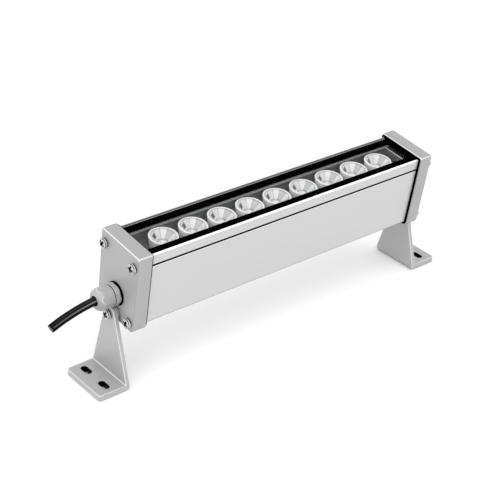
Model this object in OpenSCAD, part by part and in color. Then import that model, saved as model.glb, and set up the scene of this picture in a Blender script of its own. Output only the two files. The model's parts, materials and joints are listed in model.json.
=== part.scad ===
// Outdoor wall washer light: a tilting linear LED lamp carried between two foot brackets.
// +X runs along the lamp away from the cable, +Z is up and -Y is the side that the light leans to.
// The origin lies on the mounting surface, under the middle of the lamp as it leans.

/* [Lamp body] */
// Length of the lamp over both end caps
lamp_len = 300; // [290:1:420]
// Width of the housing across its top edges
housing_w = 42.7; // [42:0.1:48]
// Width of the housing across its base
housing_base_w = 41.3; // [41:0.1:48]
// Height of the housing
housing_h = 63; // [61.4:0.1:76]
// Wall of the extruded housing
wall = 1.8; // [1.5:0.1:2.2]
// Radius of the housing's lower corners
housing_corner_r = 1; // [0.5:0.1:1.6]
// Radius of the housing's upper corners
housing_top_r = 0.35; // [0.2:0.05:0.6]
// Height of the shadow groove along both sides
groove_h = 1; // [0.6:0.1:1.4]
// Depth of the shadow groove
groove_depth = 0.7; // [0.4:0.1:1]
// Distance from the housing's top edge down to the groove
groove_drop = 9.3; // [8.8:0.1:10.5]

/* [Tilt] */
// Angle by which the lamp leans forward as it stands
tilt = 6.5; // [0:0.5:30]
// Height of the pivot above the mounting surface
pivot_z = 58.3; // [54:0.1:80]
// Height of the pivot above the end cap's lower edge
pivot_rise = 5.9; // [5.7:0.1:6.6]

/* [End caps] */
// Thickness of an end cap
cap_t = 12.4; // [11.5:0.1:16]
// Overhang of the end cap beyond the housing's sides
cap_side_over = 2.5; // [1.7:0.1:3]
// Overhang of the end cap above the housing
cap_top_over = 2.4; // [1.4:0.1:3]
// Overhang of the end cap below the housing
cap_base_over = 3.2; // [2.2:0.1:3.6]
// Radius of the end cap's upper corners
cap_top_r = 1.5; // [1:0.1:3]
// Radius of the end cap's lower corners
cap_base_r = 3.5; // [2:0.1:4]
// Thickness left behind the pocket in an end cap
cap_face_t = 4; // [3.5:0.1:6]
// Half width of the pocket
pocket_half_w = 13; // [12:0.1:13.5]
// Height of the pocket's lower edge above the pivot
pocket_low = 5.5; // [5:0.1:6.2]
// Height of the pocket's upper edge above the pivot
pocket_high = 36; // [30:0.1:37.5]
// Thickness of the rubber gasket behind a cap
gasket_t = 1; // [0.6:0.1:1.6]
// Step from the cap's edge in to the gasket's edge
gasket_step = 0.8; // [0.5:0.1:1.1]

/* [Fasteners] */
// Thread radius of the end cap screws and pivot bolts
screw_r = 2; // [1.8:0.05:2.1]
// Head radius of the end cap screws and pivot bolts
head_r = 4; // [3.6:0.1:4.2]
// Head height of the end cap screws and pivot bolts
head_h = 2.7; // [2.4:0.1:3]
// Radius of the domed top of a head
head_dome_r = 6; // [5:0.1:9]
// Length of an end cap screw under its head
cap_screw_len = 26; // [20:0.5:32]
// Distance from the housing's side to a cap screw
screw_inset = 3; // [2.9:0.05:3.2]
// Distance from the housing's top to the upper screws
screw_drop = 8.3; // [8.2:0.1:9]
// Distance from the housing's base to the lower screws
screw_lift = 3.9; // [3.6:0.1:4.5]
// Radius of a screw channel in the housing
channel_r = 3.2; // [3:0.1:3.4]
// Outer radius of a spring washer
spring_washer_r = 3.7; // [3.4:0.1:4]
// Thickness of a spring washer
spring_washer_t = 1; // [0.8:0.1:1.2]
// Width of the split in a spring washer
washer_split = 0.8; // [0.5:0.1:1.2]
// Width of the cross recess in a head
recess_w = 1; // [0.8:0.1:1.2]
// Length of the cross recess in a head
recess_len = 4.6; // [3.6:0.1:5]
// Depth of the cross recess in a head
recess_depth = 1.5; // [1:0.1:1.8]

/* [Window] */
// Depth of the black border below the housing's top edge
border_drop = 1.2; // [0.8:0.1:2]
// Thickness of the black border that seals the glass
border_t = 0.4; // [0.3:0.1:0.8]
// Half width of the clear window between the borders
window_half_w = 11.9; // [11.6:0.1:12.6]
// Length of the border at the cable end
left_border_len = 2; // [1:0.5:6]
// Length of the border at the far end
right_border_len = 7.5; // [5:0.5:9]
// Thickness of the glass
glass_t = 2.5; // [2:0.1:3]
// Half width of the opening between the ledges that carry the glass
ledge_half_w = 13; // [12.6:0.1:14]
// Thickness of the ledges
ledge_t = 1.5; // [1.2:0.1:1.8]

/* [Lenses] */
// Distance from one lens to the next
lens_pitch = 27.7; // [27:0.1:29]
// Radius of a lens holder's rim
holder_r = 11.6; // [11:0.1:11.9]
// Radius of a lens holder's foot
holder_foot_r = 9.6; // [9:0.1:10.2]
// Height of a lens holder
holder_h = 13; // [12:0.1:14]
// Radius of the seat that a lens rests in
lens_seat_r = 10.6; // [10:0.1:10.8]
// Height of a lens's foot above the light board
lens_lift = 0.5; // [0.3:0.1:0.7]
// Thickness of a lens's flange
lens_flange_t = 2.2; // [1.6:0.1:2.6]
// Radius of a lens under its flange
lens_neck_r = 9.6; // [9:0.1:9.8]
// Radius of a lens at its foot
lens_foot_r = 4.6; // [4:0.1:5.2]
// Radius of the bowl in a lens's face
bowl_r = 8.9; // [8:0.1:9.3]
// Radius of the bowl's floor
bowl_floor_r = 4.2; // [3.6:0.1:4.8]
// Depth of the bowl
bowl_depth = 6.2; // [5:0.1:6.6]
// Radius of the hollow over the emitter
emitter_hollow_r = 2.7; // [2.6:0.1:3]
// Depth of the hollow over the emitter
emitter_hollow_h = 3; // [2.6:0.1:3.4]
// Side of an emitter's base
emitter_w = 3.4; // [3:0.1:3.5]
// Height of an emitter's base
emitter_h = 1; // [0.8:0.1:1.2]
// Radius of an emitter's dome
emitter_dome_r = 1.3; // [1:0.1:1.4]

/* [Light board] */
// Thickness of the web that carries the light board
web_t = 2.5; // [2:0.1:3.5]
// Thickness of the light board
board_t = 1.6; // [1.2:0.1:2]
// Half width of the light board
board_half_w = 12.8; // [12:0.1:12.9]
// Distance from the light board's ends to the housing's ends
board_end_gap = 3; // [2:0.5:8]
// Thickness of the dark tray round the lenses
tray_t = 1; // [0.8:0.1:1.2]
// Half width of the tray
tray_half_w = 14.6; // [14.4:0.1:14.7]
// Height of the tray's floor above the light board
tray_lift = 2.6; // [2.4:0.1:3.2]
// Thread radius of a board screw
board_screw_r = 1.5; // [1.3:0.05:1.6]
// Head radius of a board screw
board_head_r = 2.75; // [2.5:0.05:2.9]
// Head height of a board screw
board_head_h = 1.9; // [1.6:0.1:2.1]
// Length of the slot in a board screw's head
board_slot_len = 2.8; // [2.4:0.1:3.4]
// Depth of the slot in a board screw's head
board_slot_depth = 0.9; // [0.6:0.1:1.1]
// Length of a board screw under its head
board_screw_len = 5; // [4:0.1:6]

/* [Driver] */
// Length of the driver board
driver_len = 170; // [165:1:190]
// Distance from the housing's cable end to the driver board
driver_start = 22; // [20:1:34]
// Height of the driver board above the housing's floor
driver_lift = 7; // [6:0.1:9]
// Reach of the ribs that hold the driver board
rib_reach = 2.4; // [2:0.1:3]
// Thickness of the ribs that hold the driver board
rib_t = 1; // [0.8:0.1:1.4]
// Length of the transformer
transformer_len = 26; // [20:1:32]
// Width of the transformer
transformer_w = 22; // [18:1:26]
// Room between the transformer and the web above it
transformer_head_gap = 9.8; // [8:0.1:14]
// Share of the transformer's height that its core fills
core_height_share = 0.5; // [0.4:0.05:0.6]
// Share of the transformer's length that its winding covers
winding_share = 0.5; // [0.4:0.05:0.7]
// Radius of a capacitor
capacitor_r = 6.5; // [5:0.1:8]
// Room between a capacitor and the web above it
capacitor_head_gap = 7.8; // [6:0.1:12]
// Distance from one capacitor to the next
capacitor_pitch = 17; // [16.5:0.5:19]
// Radius of the choke
choke_r = 7; // [6:0.1:9]
// Height of the choke
choke_h = 12; // [8:0.5:16]
// Radius of the waist where the choke is wound
choke_waist_r = 5.6; // [4:0.1:5.8]
// Thickness of the choke's flanges
choke_flange_t = 2; // [1:0.1:2.5]
// Length of the terminal block
terminal_len = 9; // [8:0.5:12]
// Width of the terminal block
terminal_w = 18; // [17:0.5:22]
// Height of the terminal block
terminal_h = 10; // [9:0.5:12]
// Radius of the screw hole over a terminal
terminal_hole_r = 1.8; // [1.4:0.1:2]
// Distance from one terminal to the next
terminal_pitch = 5; // [4.5:0.1:5.5]
// Radius of the wires from the driver to the light board
led_lead_r = 0.8; // [0.6:0.1:1]
// Distance between the wires to the light board
led_lead_pitch = 4; // [3:0.1:5]
// Radius of the hole that lets the wires through the web
web_hole_r = 4; // [3.6:0.1:5]

/* [Cable gland] */
// Height of the gland above the pivot
gland_rise = 17.3; // [17:0.1:22]
// Thread radius of the gland in the cap
gland_thread_r = 7.6; // [7:0.1:7.8]
// Radius of the O-ring on the cap's face
oring_r = 9.7; // [9.3:0.1:9.8]
// Thickness of the O-ring as it is squeezed
oring_t = 1.2; // [1:0.1:1.6]
// Width across the flats of the gland's flange
flange_flats = 16.9; // [16.4:0.1:17.4]
// Radius that rounds the flange's corners
flange_r = 9.1; // [8.8:0.1:9.3]
// Thickness of the flange
flange_t = 4.6; // [4:0.1:6]
// Radius of the gland's outer thread
gland_neck_r = 6.6; // [6.2:0.1:6.8]
// Length of the gland's outer thread
gland_neck_len = 8.6; // [8:0.1:9.5]
// Width across the flats of the domed nut
nut_flats = 16.9; // [16.4:0.1:17.4]
// Radius that rounds the domed nut's corners
nut_r = 9.1; // [8.8:0.1:9.3]
// Length of the domed nut
nut_len = 13.6; // [13:0.1:15]
// Length of the domed nut's rounded end
nut_dome_len = 4; // [3:0.1:5]
// Chamfer at the domed nut's inner end
nut_chamfer = 0.5; // [0.3:0.1:0.8]
// Radius of the domed nut's end face
nut_end_r = 5.8; // [5:0.1:6.2]
// Radius of the rubber seal in the gland
seal_r = 5; // [4.6:0.1:5.2]
// Length of the rubber seal in the gland
seal_len = 7; // [5:0.1:7.5]
// Width across the flats of the lock nut inside the cap
lock_nut_flats = 19; // [18.4:0.1:20]
// Thickness of the lock nut
lock_nut_t = 4; // [3:0.1:5]
// Length of the gland's thread beyond the lock nut
stem_over = 1; // [0.5:0.1:1.5]

/* [Cord] */
// Radius of the supply cord
cord_r = 3.4; // [3:0.1:3.6]
// Distance from the housing's end to where the cord's jacket stops inside
jacket_reach = 9; // [6:0.5:10]
// Radius of a wire inside the cord
lead_r = 0.9; // [0.7:0.05:1.1]
// Distance from the cord's middle to a wire
lead_ring_r = 2.1; // [2:0.1:2.3]

/* [Brackets] */
// Thickness of the upright plate
plate_t = 3.6; // [3:0.1:5]
// Gap from the end cap to the upright plate, filled by the spacer
plate_gap = 2.1; // [1.8:0.1:4]
// Radius of the plate's rounded top
plate_top_r = 7; // [6.5:0.1:7.4]
// Width of the foot along the wall
foot_w = 45.1; // [42:0.1:60]
// Reach of the foot outward from the upright plate's outer face
foot_reach = 24; // [22.5:0.1:36]
// Thickness of the foot
foot_t = 5.2; // [4:0.1:7]
// Radius of the bend below the plate
bend_r = 3; // [2:0.1:4]
// Radius of the fillet between foot and plate
bend_fillet_r = 1; // [0.5:0.1:2]
// Radius of the foot's outer corners
foot_corner_r = 2.5; // [1:0.1:4]
// Width of a mounting slot
slot_w = 4.7; // [4:0.1:6]
// Length of a mounting slot, end to end
slot_len = 10.4; // [8:0.1:14]
// Distance between the middles of the two slots
slot_spacing = 23.9; // [22:0.1:30]
// Distance from the foot's outer edge to the slots
slot_edge = 11; // [8.5:0.1:12.4]
// Radius of the spacer between cap and plate
spacer_r = 6.2; // [5:0.1:6.6]
// Length of the pivot bolt's thread in the end cap
bolt_grip = 9.5; // [7:0.1:10.5]

/* [Clearances] */
// Gap round a thread, and between faces that turn on each other
fit_gap = 0.05; // [0.02:0.01:0.1]
// Radial gap of the pivot bolt in the bracket
pivot_gap = 0.06; // [0.02:0.01:0.1]
// Gap round a screw in a plain hole
hole_gap = 0.2; // [0.1:0.05:0.3]
// Gap round pieces that are laid or slid in
slide_gap = 0.3; // [0.2:0.05:0.35]

/* [Hidden] */
$fn = 64;
corner_steps = 6;
quarter = 90;
full_turn = 360;
hex_sides = 6;
hex_half_angle = full_turn / hex_sides / 2;
over = 1;

anodised = [0.85, 0.86, 0.87];
cast_grey = [0.73, 0.74, 0.75];
black_rubber = [0.05, 0.05, 0.06];
clear_glass = [0.80, 0.88, 0.90, 0.35];
clear_lens = [0.93, 0.94, 0.95];
holder_grey = [0.80, 0.81, 0.82];
tray_grey = [0.28, 0.28, 0.29];
board_white = [0.90, 0.90, 0.88];
emitter_yellow = [0.95, 0.85, 0.35];
steel = [0.66, 0.67, 0.69];
board_green = [0.10, 0.38, 0.20];
core_brown = [0.35, 0.20, 0.12];
can_blue = [0.12, 0.16, 0.34];
winding_red = [0.62, 0.30, 0.16];
terminal_green = [0.16, 0.48, 0.26];
nylon_grey = [0.76, 0.77, 0.79];
cord_black = [0.06, 0.06, 0.06];

// Heights in the lamp's own frame are measured from the pivot, square to the window
cap_z = -pivot_rise;
base_z = cap_z + cap_base_over;
top_z = base_z + housing_h;
cap_top_z = top_z + cap_top_over;
groove_z = top_z - groove_drop;
border_z = top_z - border_drop - border_t;
glass_z = border_z - glass_t;
ledge_z = glass_z - ledge_t;
holder_top_z = glass_z - hole_gap;
board_top_z = holder_top_z - holder_h;
web_top_z = board_top_z - board_t;
web_z = web_top_z - web_t;
tray_floor_z = board_top_z + tray_lift;
driver_z = base_z + wall + driver_lift;
driver_top_z = driver_z + board_t;
screw_low_z = base_z + screw_lift;
screw_high_z = top_z - screw_drop;

// Places along the lamp are measured from its middle
cap_out_x = lamp_len / 2;
cap_in_x = cap_out_x - cap_t;
housing_end_x = cap_in_x - gasket_t;
pocket_depth = cap_t - cap_face_t;
board_half_len = housing_end_x - board_end_gap;
lens_count = floor((2 * board_half_len - 2 * holder_r) / lens_pitch) + 1;
driver_x = -housing_end_x + driver_start;
flange_x = cap_out_x + oring_t;
nut_x = flange_x + flange_t + hole_gap;
nut_end_x = nut_x + nut_len;
neck_end_x = flange_x + flange_t + gland_neck_len;
seal_x = neck_end_x - seal_len;
cord_start_x = nut_end_x - nut_dome_len;
jacket_end_x = housing_end_x - jacket_reach;
plate_in_x = cap_out_x + plate_gap;
plate_out_x = plate_in_x + plate_t;
foot_out_x = plate_out_x + foot_reach;
slot_x = foot_out_x - slot_edge;
bolt_head_x = plate_out_x + fit_gap + spring_washer_t;
foot_half_w = foot_w / 2;
pivot_bore_r = screw_r - fit_gap + pivot_gap;

// Places of the large parts, one after another along the driver board
terminal_x = driver_x + rib_reach;
capacitor_x = terminal_x + terminal_len + 2 * capacitor_r;
transformer_x = capacitor_x + capacitor_pitch + 2 * capacitor_r;
choke_x = transformer_x + transformer_len + 2 * choke_r;
terminal_z = driver_top_z + terminal_h / 2;
transformer_h = web_z - driver_top_z - transformer_head_gap;
capacitor_h = web_z - driver_top_z - capacitor_head_gap;

// Half width of the housing at a height, with its slight taper
function half_at(z) = housing_base_w / 2 + (housing_w - housing_base_w) / 2 * (z - base_z) / housing_h;
glass_half_w = half_at(glass_z) - wall - slide_gap;
driver_half_w = half_at(driver_z) - wall - slide_gap;

// The lamp's leaning outline sets how far the pivot lies from the origin
front_y = -(half_at(top_z) + cap_side_over) * cos(tilt) - cap_top_z * sin(tilt);
rear_y = max((half_at(cap_z) + cap_side_over) * cos(tilt) - cap_z * sin(tilt), foot_half_w);
pivot_y = -(front_y + rear_y) / 2;

screw_places = [
    for (side = [-1, 1])
        for (z = [screw_low_z, screw_high_z])
            [side * (half_at(z) - screw_inset), z]
];
lens_places = [for (i = [0:lens_count - 1]) (i - (lens_count - 1) / 2) * lens_pitch];
board_screw_places = [for (i = [0:2:lens_count - 2]) lens_places[i] + lens_pitch / 2];

// The wires pass the web under the last lens that stands over the driver board, clear of the board screws
web_hole_lens = floor((driver_x + driver_len - 2 * web_hole_r - lens_places[0]) / lens_pitch);
web_hole_x = lens_places[web_hole_lens];

// Where the free cord begins, in the standing frame
cord_start = [-cord_start_x, pivot_y - gland_rise * sin(tilt), pivot_z + gland_rise * cos(tilt)];
// The free cord's route from there: straight out of the gland, then down under its own weight
cord_route = [
    [0, 0, 0], [-3, 0, 0], [-6, 0, -0.2], [-9, 0, -0.6], [-12, 0, -1.1],
    [-15, 0, -1.6], [-18, 0, -2.2], [-21, 0, -2.9], [-24, 0, -3.7], [-27, 0, -4.5],
    [-30, 0, -5.4], [-33, 0, -6.4], [-36, 0, -7.5], [-39, 0, -8.7], [-42, 0, -10]
];
cord_sides = 12;
lead_sides = 8;
lead_steps = 8;

// Points on a quarter circle that starts at an angle
function corner(middle, r, start) = [
    for (i = [0:corner_steps])
        middle + r * [cos(start + quarter * i / corner_steps), sin(start + quarter * i / corner_steps)]
];

// Outline across the lamp, grown sideways from the housing and rounded at its corners
function outline(grow, low, high, low_r, high_r) = concat(
    corner([half_at(low) + grow - low_r, low + low_r], low_r, -quarter),
    corner([half_at(high) + grow - high_r, high - high_r], high_r, 0),
    corner([-half_at(high) - grow + high_r, high - high_r], high_r, quarter),
    corner([-half_at(low) - grow + low_r, low + low_r], low_r, 2 * quarter)
);

// Direction of a route at one of its points
function along(path, i) =
    let(d = path[min(i + 1, len(path) - 1)] - path[max(i - 1, 0)])
    d / norm(d);

// One ring of a tube, square to the route, for routes that never run along Y
function ring(path, i, r, sides) =
    let(forward = along(path, i), across = cross(forward, [0, 1, 0]), u = across / norm(across))
    let(v = cross(forward, u), step = full_turn / sides)
    [for (k = [0:sides - 1]) path[i] + r * (cos(step * k) * u + sin(step * k) * v)];

// Tube along a route: rings joined by triangles, with a flat face at each end
module tube(path, r, sides) {
    last = len(path) - 1;
    points = [for (i = [0:last]) each ring(path, i, r, sides)];
    skin = [
        for (i = [0:last - 1])
            for (k = [0:sides - 1])
                let(a = i * sides + k, b = i * sides + (k + 1) % sides)
                each [[a, b, a + sides], [b, b + sides, a + sides]]
    ];
    start_face = [[for (k = [sides - 1:-1:0]) k]];
    end_face = [[for (k = [0:sides - 1]) last * sides + k]];
    polyhedron(points, concat(skin, start_face, end_face));
}

// Puts a piece drawn in the lamp's own frame where the lamp leans
module in_lamp() {
    translate([0, pivot_y, pivot_z])
        rotate([tilt, 0, 0])
            children();
}

// Turns a piece drawn for the far end to the cable end when side is below zero
module at_end(side) {
    mirror([side < 0 ? 1 : 0, 0, 0])
        children();
}

// Carries an outline across the lamp along X
module along_x(from, length) {
    translate([from, 0, 0])
        rotate([quarter, 0, quarter])
            linear_extrude(length)
                children();
}

// Round bar along X at a place across the lamp
module rod_x(from, length, r, place = [0, 0]) {
    translate([from, place[0], place[1]])
        rotate([0, quarter, 0])
            cylinder(h = length, r = r);
}

// Six-sided bar along X with one flat on top
module hex_x(from, length, flats) {
    translate([from, 0, gland_rise])
        rotate([hex_half_angle, 0, 0])
            rotate([0, quarter, 0])
                cylinder(h = length, r = flats / 2 / cos(hex_half_angle), $fn = hex_sides);
}

// Pan head with a cross recess over a plain shank, standing on its bearing face
module pan_screw(r, cap_r, cap_h, dome_r, length) {
    difference() {
        intersection() {
            cylinder(h = cap_h, r = cap_r);
            translate([0, 0, cap_h - dome_r])
                sphere(r = dome_r);
        }
        for (turn = [0, quarter])
            rotate([0, 0, turn])
                translate([-recess_len / 2, -recess_w / 2, cap_h - recess_depth])
                    cube([recess_len, recess_w, recess_depth + over]);
    }
    translate([0, 0, -length])
        cylinder(h = length, r = r);
}

// Screw pointing into the lamp's end, its bearing face at a place
module end_screw(face_x, place, length) {
    translate([face_x, place[0], place[1]])
        rotate([0, quarter, 0])
            pan_screw(screw_r - fit_gap, head_r, head_h, head_dome_r, length);
}

// Split spring washer along X
module spring_washer(from, place) {
    difference() {
        rod_x(from, spring_washer_t, spring_washer_r, place);
        rod_x(from - over, spring_washer_t + 2 * over, screw_r + hole_gap, place);
        translate([from - over, place[0] - washer_split / 2, place[1]])
            cube([spring_washer_t + 2 * over, washer_split, spring_washer_r + over]);
    }
}

// Cross section of the housing extrusion: its outline less its hollows, bores and grooves
module housing_section() {
    difference() {
        polygon(outline(0, base_z, top_z, housing_corner_r, housing_top_r));
        housing_hollows();
        for (place = screw_places)
            translate(place)
                circle(r = screw_r);
        for (side = [-1, 1])
            mirror([side < 0 ? 1 : 0, 0])
                translate([half_at(groove_z) - groove_depth, groove_z - groove_h / 2])
                    square([groove_depth + over, groove_h]);
    }
}

// Hollows of the housing: ledges and ribs stay between them, and so do the screw channels
module housing_hollows() {
    difference() {
        union() {
            throat(ledge_half_w, web_top_z, top_z + over);
            bay(web_top_z, ledge_z);
            bay(glass_z, top_z + over);
            throat(driver_half_w - rib_reach, base_z + wall, web_z);
            bay(base_z + wall, driver_z - rib_t);
            bay(driver_z, driver_top_z + slide_gap);
            bay(driver_top_z + slide_gap + rib_t, web_z);
        }
        for (place = screw_places)
            translate(place)
                circle(r = channel_r);
    }
}

// Hollow as wide as the housing's walls leave, between two heights
module bay(low, high) {
    polygon([
        [-half_at(low) + wall, low],
        [half_at(low) - wall, low],
        [half_at(high) - wall, high],
        [-half_at(high) + wall, high]
    ]);
}

// Narrower hollow between ribs or ledges
module throat(half_w, low, high) {
    translate([-half_w, low])
        square([2 * half_w, high - low]);
}

module housing() {
    color(anodised)
        in_lamp()
            difference() {
                along_x(-housing_end_x, 2 * housing_end_x)
                    housing_section();
                for (x = board_screw_places)
                    translate([x, 0, web_z - over])
                        cylinder(h = web_t + 2 * over, r = board_screw_r);
                translate([web_hole_x, 0, web_z - over])
                    cylinder(h = web_t + 2 * over, r = web_hole_r);
            }
}

// Opening inside a cap, also cut from its gasket
module pocket_section() {
    translate([-pocket_half_w, pocket_low])
        square([2 * pocket_half_w, pocket_high - pocket_low]);
}

module end_cap(side, with_gland) {
    color(cast_grey)
        in_lamp()
            at_end(side)
                difference() {
                    along_x(cap_in_x, cap_t)
                        polygon(outline(cap_side_over, cap_z, cap_top_z, cap_base_r, cap_top_r));
                    along_x(cap_in_x - over, pocket_depth + over)
                        pocket_section();
                    for (place = screw_places)
                        rod_x(cap_in_x - over, cap_t + 2 * over, screw_r + hole_gap, place);
                    rod_x(cap_out_x - bolt_grip - over, bolt_grip + 2 * over, screw_r);
                    if (with_gland)
                        rod_x(cap_in_x, cap_t + over, gland_thread_r + fit_gap, [0, gland_rise]);
                }
}

module gasket(side) {
    color(black_rubber)
        in_lamp()
            at_end(side)
                along_x(housing_end_x, gasket_t)
                    difference() {
                        polygon(outline(cap_side_over - gasket_step, cap_z + gasket_step,
                            cap_top_z - gasket_step, cap_base_r, cap_top_r));
                        pocket_section();
                        for (place = screw_places)
                            translate(place)
                                circle(r = screw_r + hole_gap);
                    }
}

module cap_screws(side) {
    color(steel)
        in_lamp()
            at_end(side)
                for (place = screw_places)
                    end_screw(cap_out_x + spring_washer_t, place, cap_screw_len);
}

module cap_washers(side) {
    color(steel)
        in_lamp()
            at_end(side)
                for (place = screw_places)
                    spring_washer(cap_out_x, place);
}

// Flat piece between two places along the lamp, at a height
module slab(from_x, to_x, half_w, low, thick) {
    translate([from_x, -half_w, low])
        cube([to_x - from_x, 2 * half_w, thick]);
}

module cover_glass() {
    color(clear_glass)
        in_lamp()
            slab(-housing_end_x, housing_end_x, glass_half_w, glass_z, glass_t);
}

// Black seal on the glass along one side of the window
module border_seal(side) {
    color(black_rubber)
        in_lamp()
            mirror([0, side < 0 ? 1 : 0, 0])
                translate([-housing_end_x, window_half_w, border_z])
                    cube([2 * housing_end_x, glass_half_w - window_half_w, border_t]);
}

// Black seal on the glass across one end of the window
module end_border_seal(side, length) {
    color(black_rubber)
        in_lamp()
            at_end(side)
                slab(housing_end_x - length, housing_end_x, window_half_w, border_z, border_t);
}

// Radius of a lens holder at a height above its foot
function holder_at(h) = holder_foot_r + (holder_r - holder_foot_r) * h / holder_h;

module lens_tray() {
    wall_z = web_top_z;
    wall_h = ledge_z - slide_gap - wall_z;
    color(tray_grey)
        in_lamp() {
            difference() {
                slab(-board_half_len, board_half_len, tray_half_w, tray_floor_z, tray_t);
                for (x = lens_places)
                    translate([x, 0, tray_floor_z - over])
                        cylinder(h = tray_t + 2 * over, r = holder_at(tray_lift + tray_t) + slide_gap);
            }
            for (side = [-1, 1])
                mirror([0, side < 0 ? 1 : 0, 0])
                    translate([-board_half_len, tray_half_w - tray_t, wall_z])
                        cube([2 * board_half_len, tray_t, wall_h]);
        }
}

module lens_holders() {
    color(holder_grey)
        in_lamp()
            for (x = lens_places)
                translate([x, 0, board_top_z])
                    rotate_extrude()
                        polygon([
                            [lens_foot_r + slide_gap, 0],
                            [holder_foot_r, 0],
                            [holder_r, holder_h],
                            [lens_seat_r, holder_h],
                            [lens_seat_r, holder_h - lens_flange_t],
                            [lens_neck_r + slide_gap, holder_h - lens_flange_t]
                        ]);
}

module lenses() {
    color(clear_lens)
        in_lamp()
            for (x = lens_places)
                translate([x, 0, board_top_z])
                    rotate_extrude()
                        polygon([
                            [0, lens_lift + emitter_hollow_h],
                            [emitter_hollow_r, lens_lift + emitter_hollow_h],
                            [emitter_hollow_r, lens_lift],
                            [lens_foot_r, lens_lift],
                            [lens_neck_r, holder_h - lens_flange_t],
                            [lens_seat_r - fit_gap, holder_h - lens_flange_t],
                            [lens_seat_r - fit_gap, holder_h],
                            [bowl_r, holder_h],
                            [bowl_floor_r, holder_h - bowl_depth],
                            [0, holder_h - bowl_depth]
                        ]);
}

module led_emitters() {
    color(emitter_yellow)
        in_lamp()
            for (x = lens_places)
                translate([x, 0, board_top_z]) {
                    slab(-emitter_w / 2, emitter_w / 2, emitter_w / 2, 0, emitter_h);
                    translate([0, 0, emitter_h])
                        intersection() {
                            sphere(r = emitter_dome_r);
                            translate([0, 0, -fit_gap])
                                cylinder(h = emitter_dome_r + over, r = emitter_dome_r + over);
                        }
                }
}

module light_board() {
    color(board_white)
        in_lamp()
            difference() {
                slab(-board_half_len, board_half_len, board_half_w, web_top_z, board_t);
                for (x = board_screw_places)
                    translate([x, 0, web_top_z - over])
                        cylinder(h = board_t + 2 * over, r = board_screw_r + hole_gap);
            }
}

module board_screws() {
    color(steel)
        in_lamp()
            for (x = board_screw_places)
                translate([x, 0, board_top_z])
                    difference() {
                        union() {
                            cylinder(h = board_head_h, r = board_head_r);
                            translate([0, 0, -board_screw_len])
                                cylinder(h = board_screw_len, r = board_screw_r - fit_gap);
                        }
                        translate([-board_slot_len / 2, -recess_w / 2, board_head_h - board_slot_depth])
                            cube([board_slot_len, recess_w, board_slot_depth + over]);
                    }
}

module driver_board() {
    color(board_green)
        in_lamp()
            slab(driver_x, driver_x + driver_len, driver_half_w, driver_z, board_t);
}

module driver_transformer() {
    core_h = transformer_h * core_height_share;
    winding_start = transformer_len * (1 - winding_share) / 2;
    color(core_brown)
        in_lamp() {
            slab(transformer_x, transformer_x + transformer_len, transformer_w / 2,
                driver_top_z + (transformer_h - core_h) / 2, core_h);
            slab(transformer_x + winding_start, transformer_x + transformer_len - winding_start,
                transformer_w / 2, driver_top_z, transformer_h);
        }
}

module driver_capacitors() {
    color(can_blue)
        in_lamp()
            for (i = [0, 1])
                translate([capacitor_x + i * capacitor_pitch, 0, driver_top_z])
                    cylinder(h = capacitor_h, r = capacitor_r);
}

module driver_choke() {
    color(winding_red)
        in_lamp()
            translate([choke_x, 0, driver_top_z])
                rotate_extrude()
                    polygon([
                        [0, 0],
                        [choke_r, 0],
                        [choke_r, choke_flange_t],
                        [choke_waist_r, choke_flange_t],
                        [choke_waist_r, choke_h - choke_flange_t],
                        [choke_r, choke_h - choke_flange_t],
                        [choke_r, choke_h],
                        [0, choke_h]
                    ]);
}

module driver_terminals() {
    color(terminal_green)
        in_lamp()
            difference() {
                slab(terminal_x, terminal_x + terminal_len, terminal_w / 2, driver_top_z, terminal_h);
                for (i = [-1, 0, 1])
                    translate([terminal_x + terminal_len / 2, i * terminal_pitch, terminal_z])
                        cylinder(h = terminal_h, r = terminal_hole_r);
            }
}

module led_leads() {
    color(winding_red)
        in_lamp()
            for (side = [-1, 1])
                translate([web_hole_x, side * led_lead_pitch / 2, driver_top_z])
                    cylinder(h = web_top_z - driver_top_z, r = led_lead_r);
}

// Wires that fan out from the cord's jacket to the terminals in an easy double bend
module supply_leads() {
    start_x = hole_gap - jacket_end_x;
    reach = terminal_x - hole_gap - start_x;
    color(can_blue)
        in_lamp()
            for (i = [-1, 0, 1]) {
                start = [i * lead_ring_r, gland_rise];
                finish = [i * terminal_pitch, terminal_z];
                tube([
                    for (k = [0:lead_steps])
                        let(share = k / lead_steps, ease = (1 - cos(2 * quarter * share)) / 2)
                        [start_x + share * reach, start[0] + ease * (finish[0] - start[0]),
                            start[1] + ease * (finish[1] - start[1])]
                ], lead_r, lead_sides);
            }
}

module cord_tail() {
    color(cord_black)
        in_lamp()
            at_end(-1)
                rod_x(jacket_end_x, cord_start_x - jacket_end_x, cord_r, [0, gland_rise]);
}

module supply_cord() {
    color(cord_black)
        translate(cord_start)
            tube(cord_route, cord_r, cord_sides);
}

module gland_o_ring() {
    ring_half_t = oring_t / 2;
    ring_in_r = gland_thread_r + fit_gap;
    color(black_rubber)
        in_lamp()
            at_end(-1)
                translate([cap_out_x + ring_half_t, 0, gland_rise])
                    rotate([0, quarter, 0])
                        rotate_extrude()
                            intersection() {
                                translate([ring_in_r, -ring_half_t])
                                    square([oring_r - ring_in_r, oring_t]);
                                translate([(oring_r + ring_in_r) / 2, 0])
                                    circle(r = (oring_r - ring_in_r) / 2);
                            }
}

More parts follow.
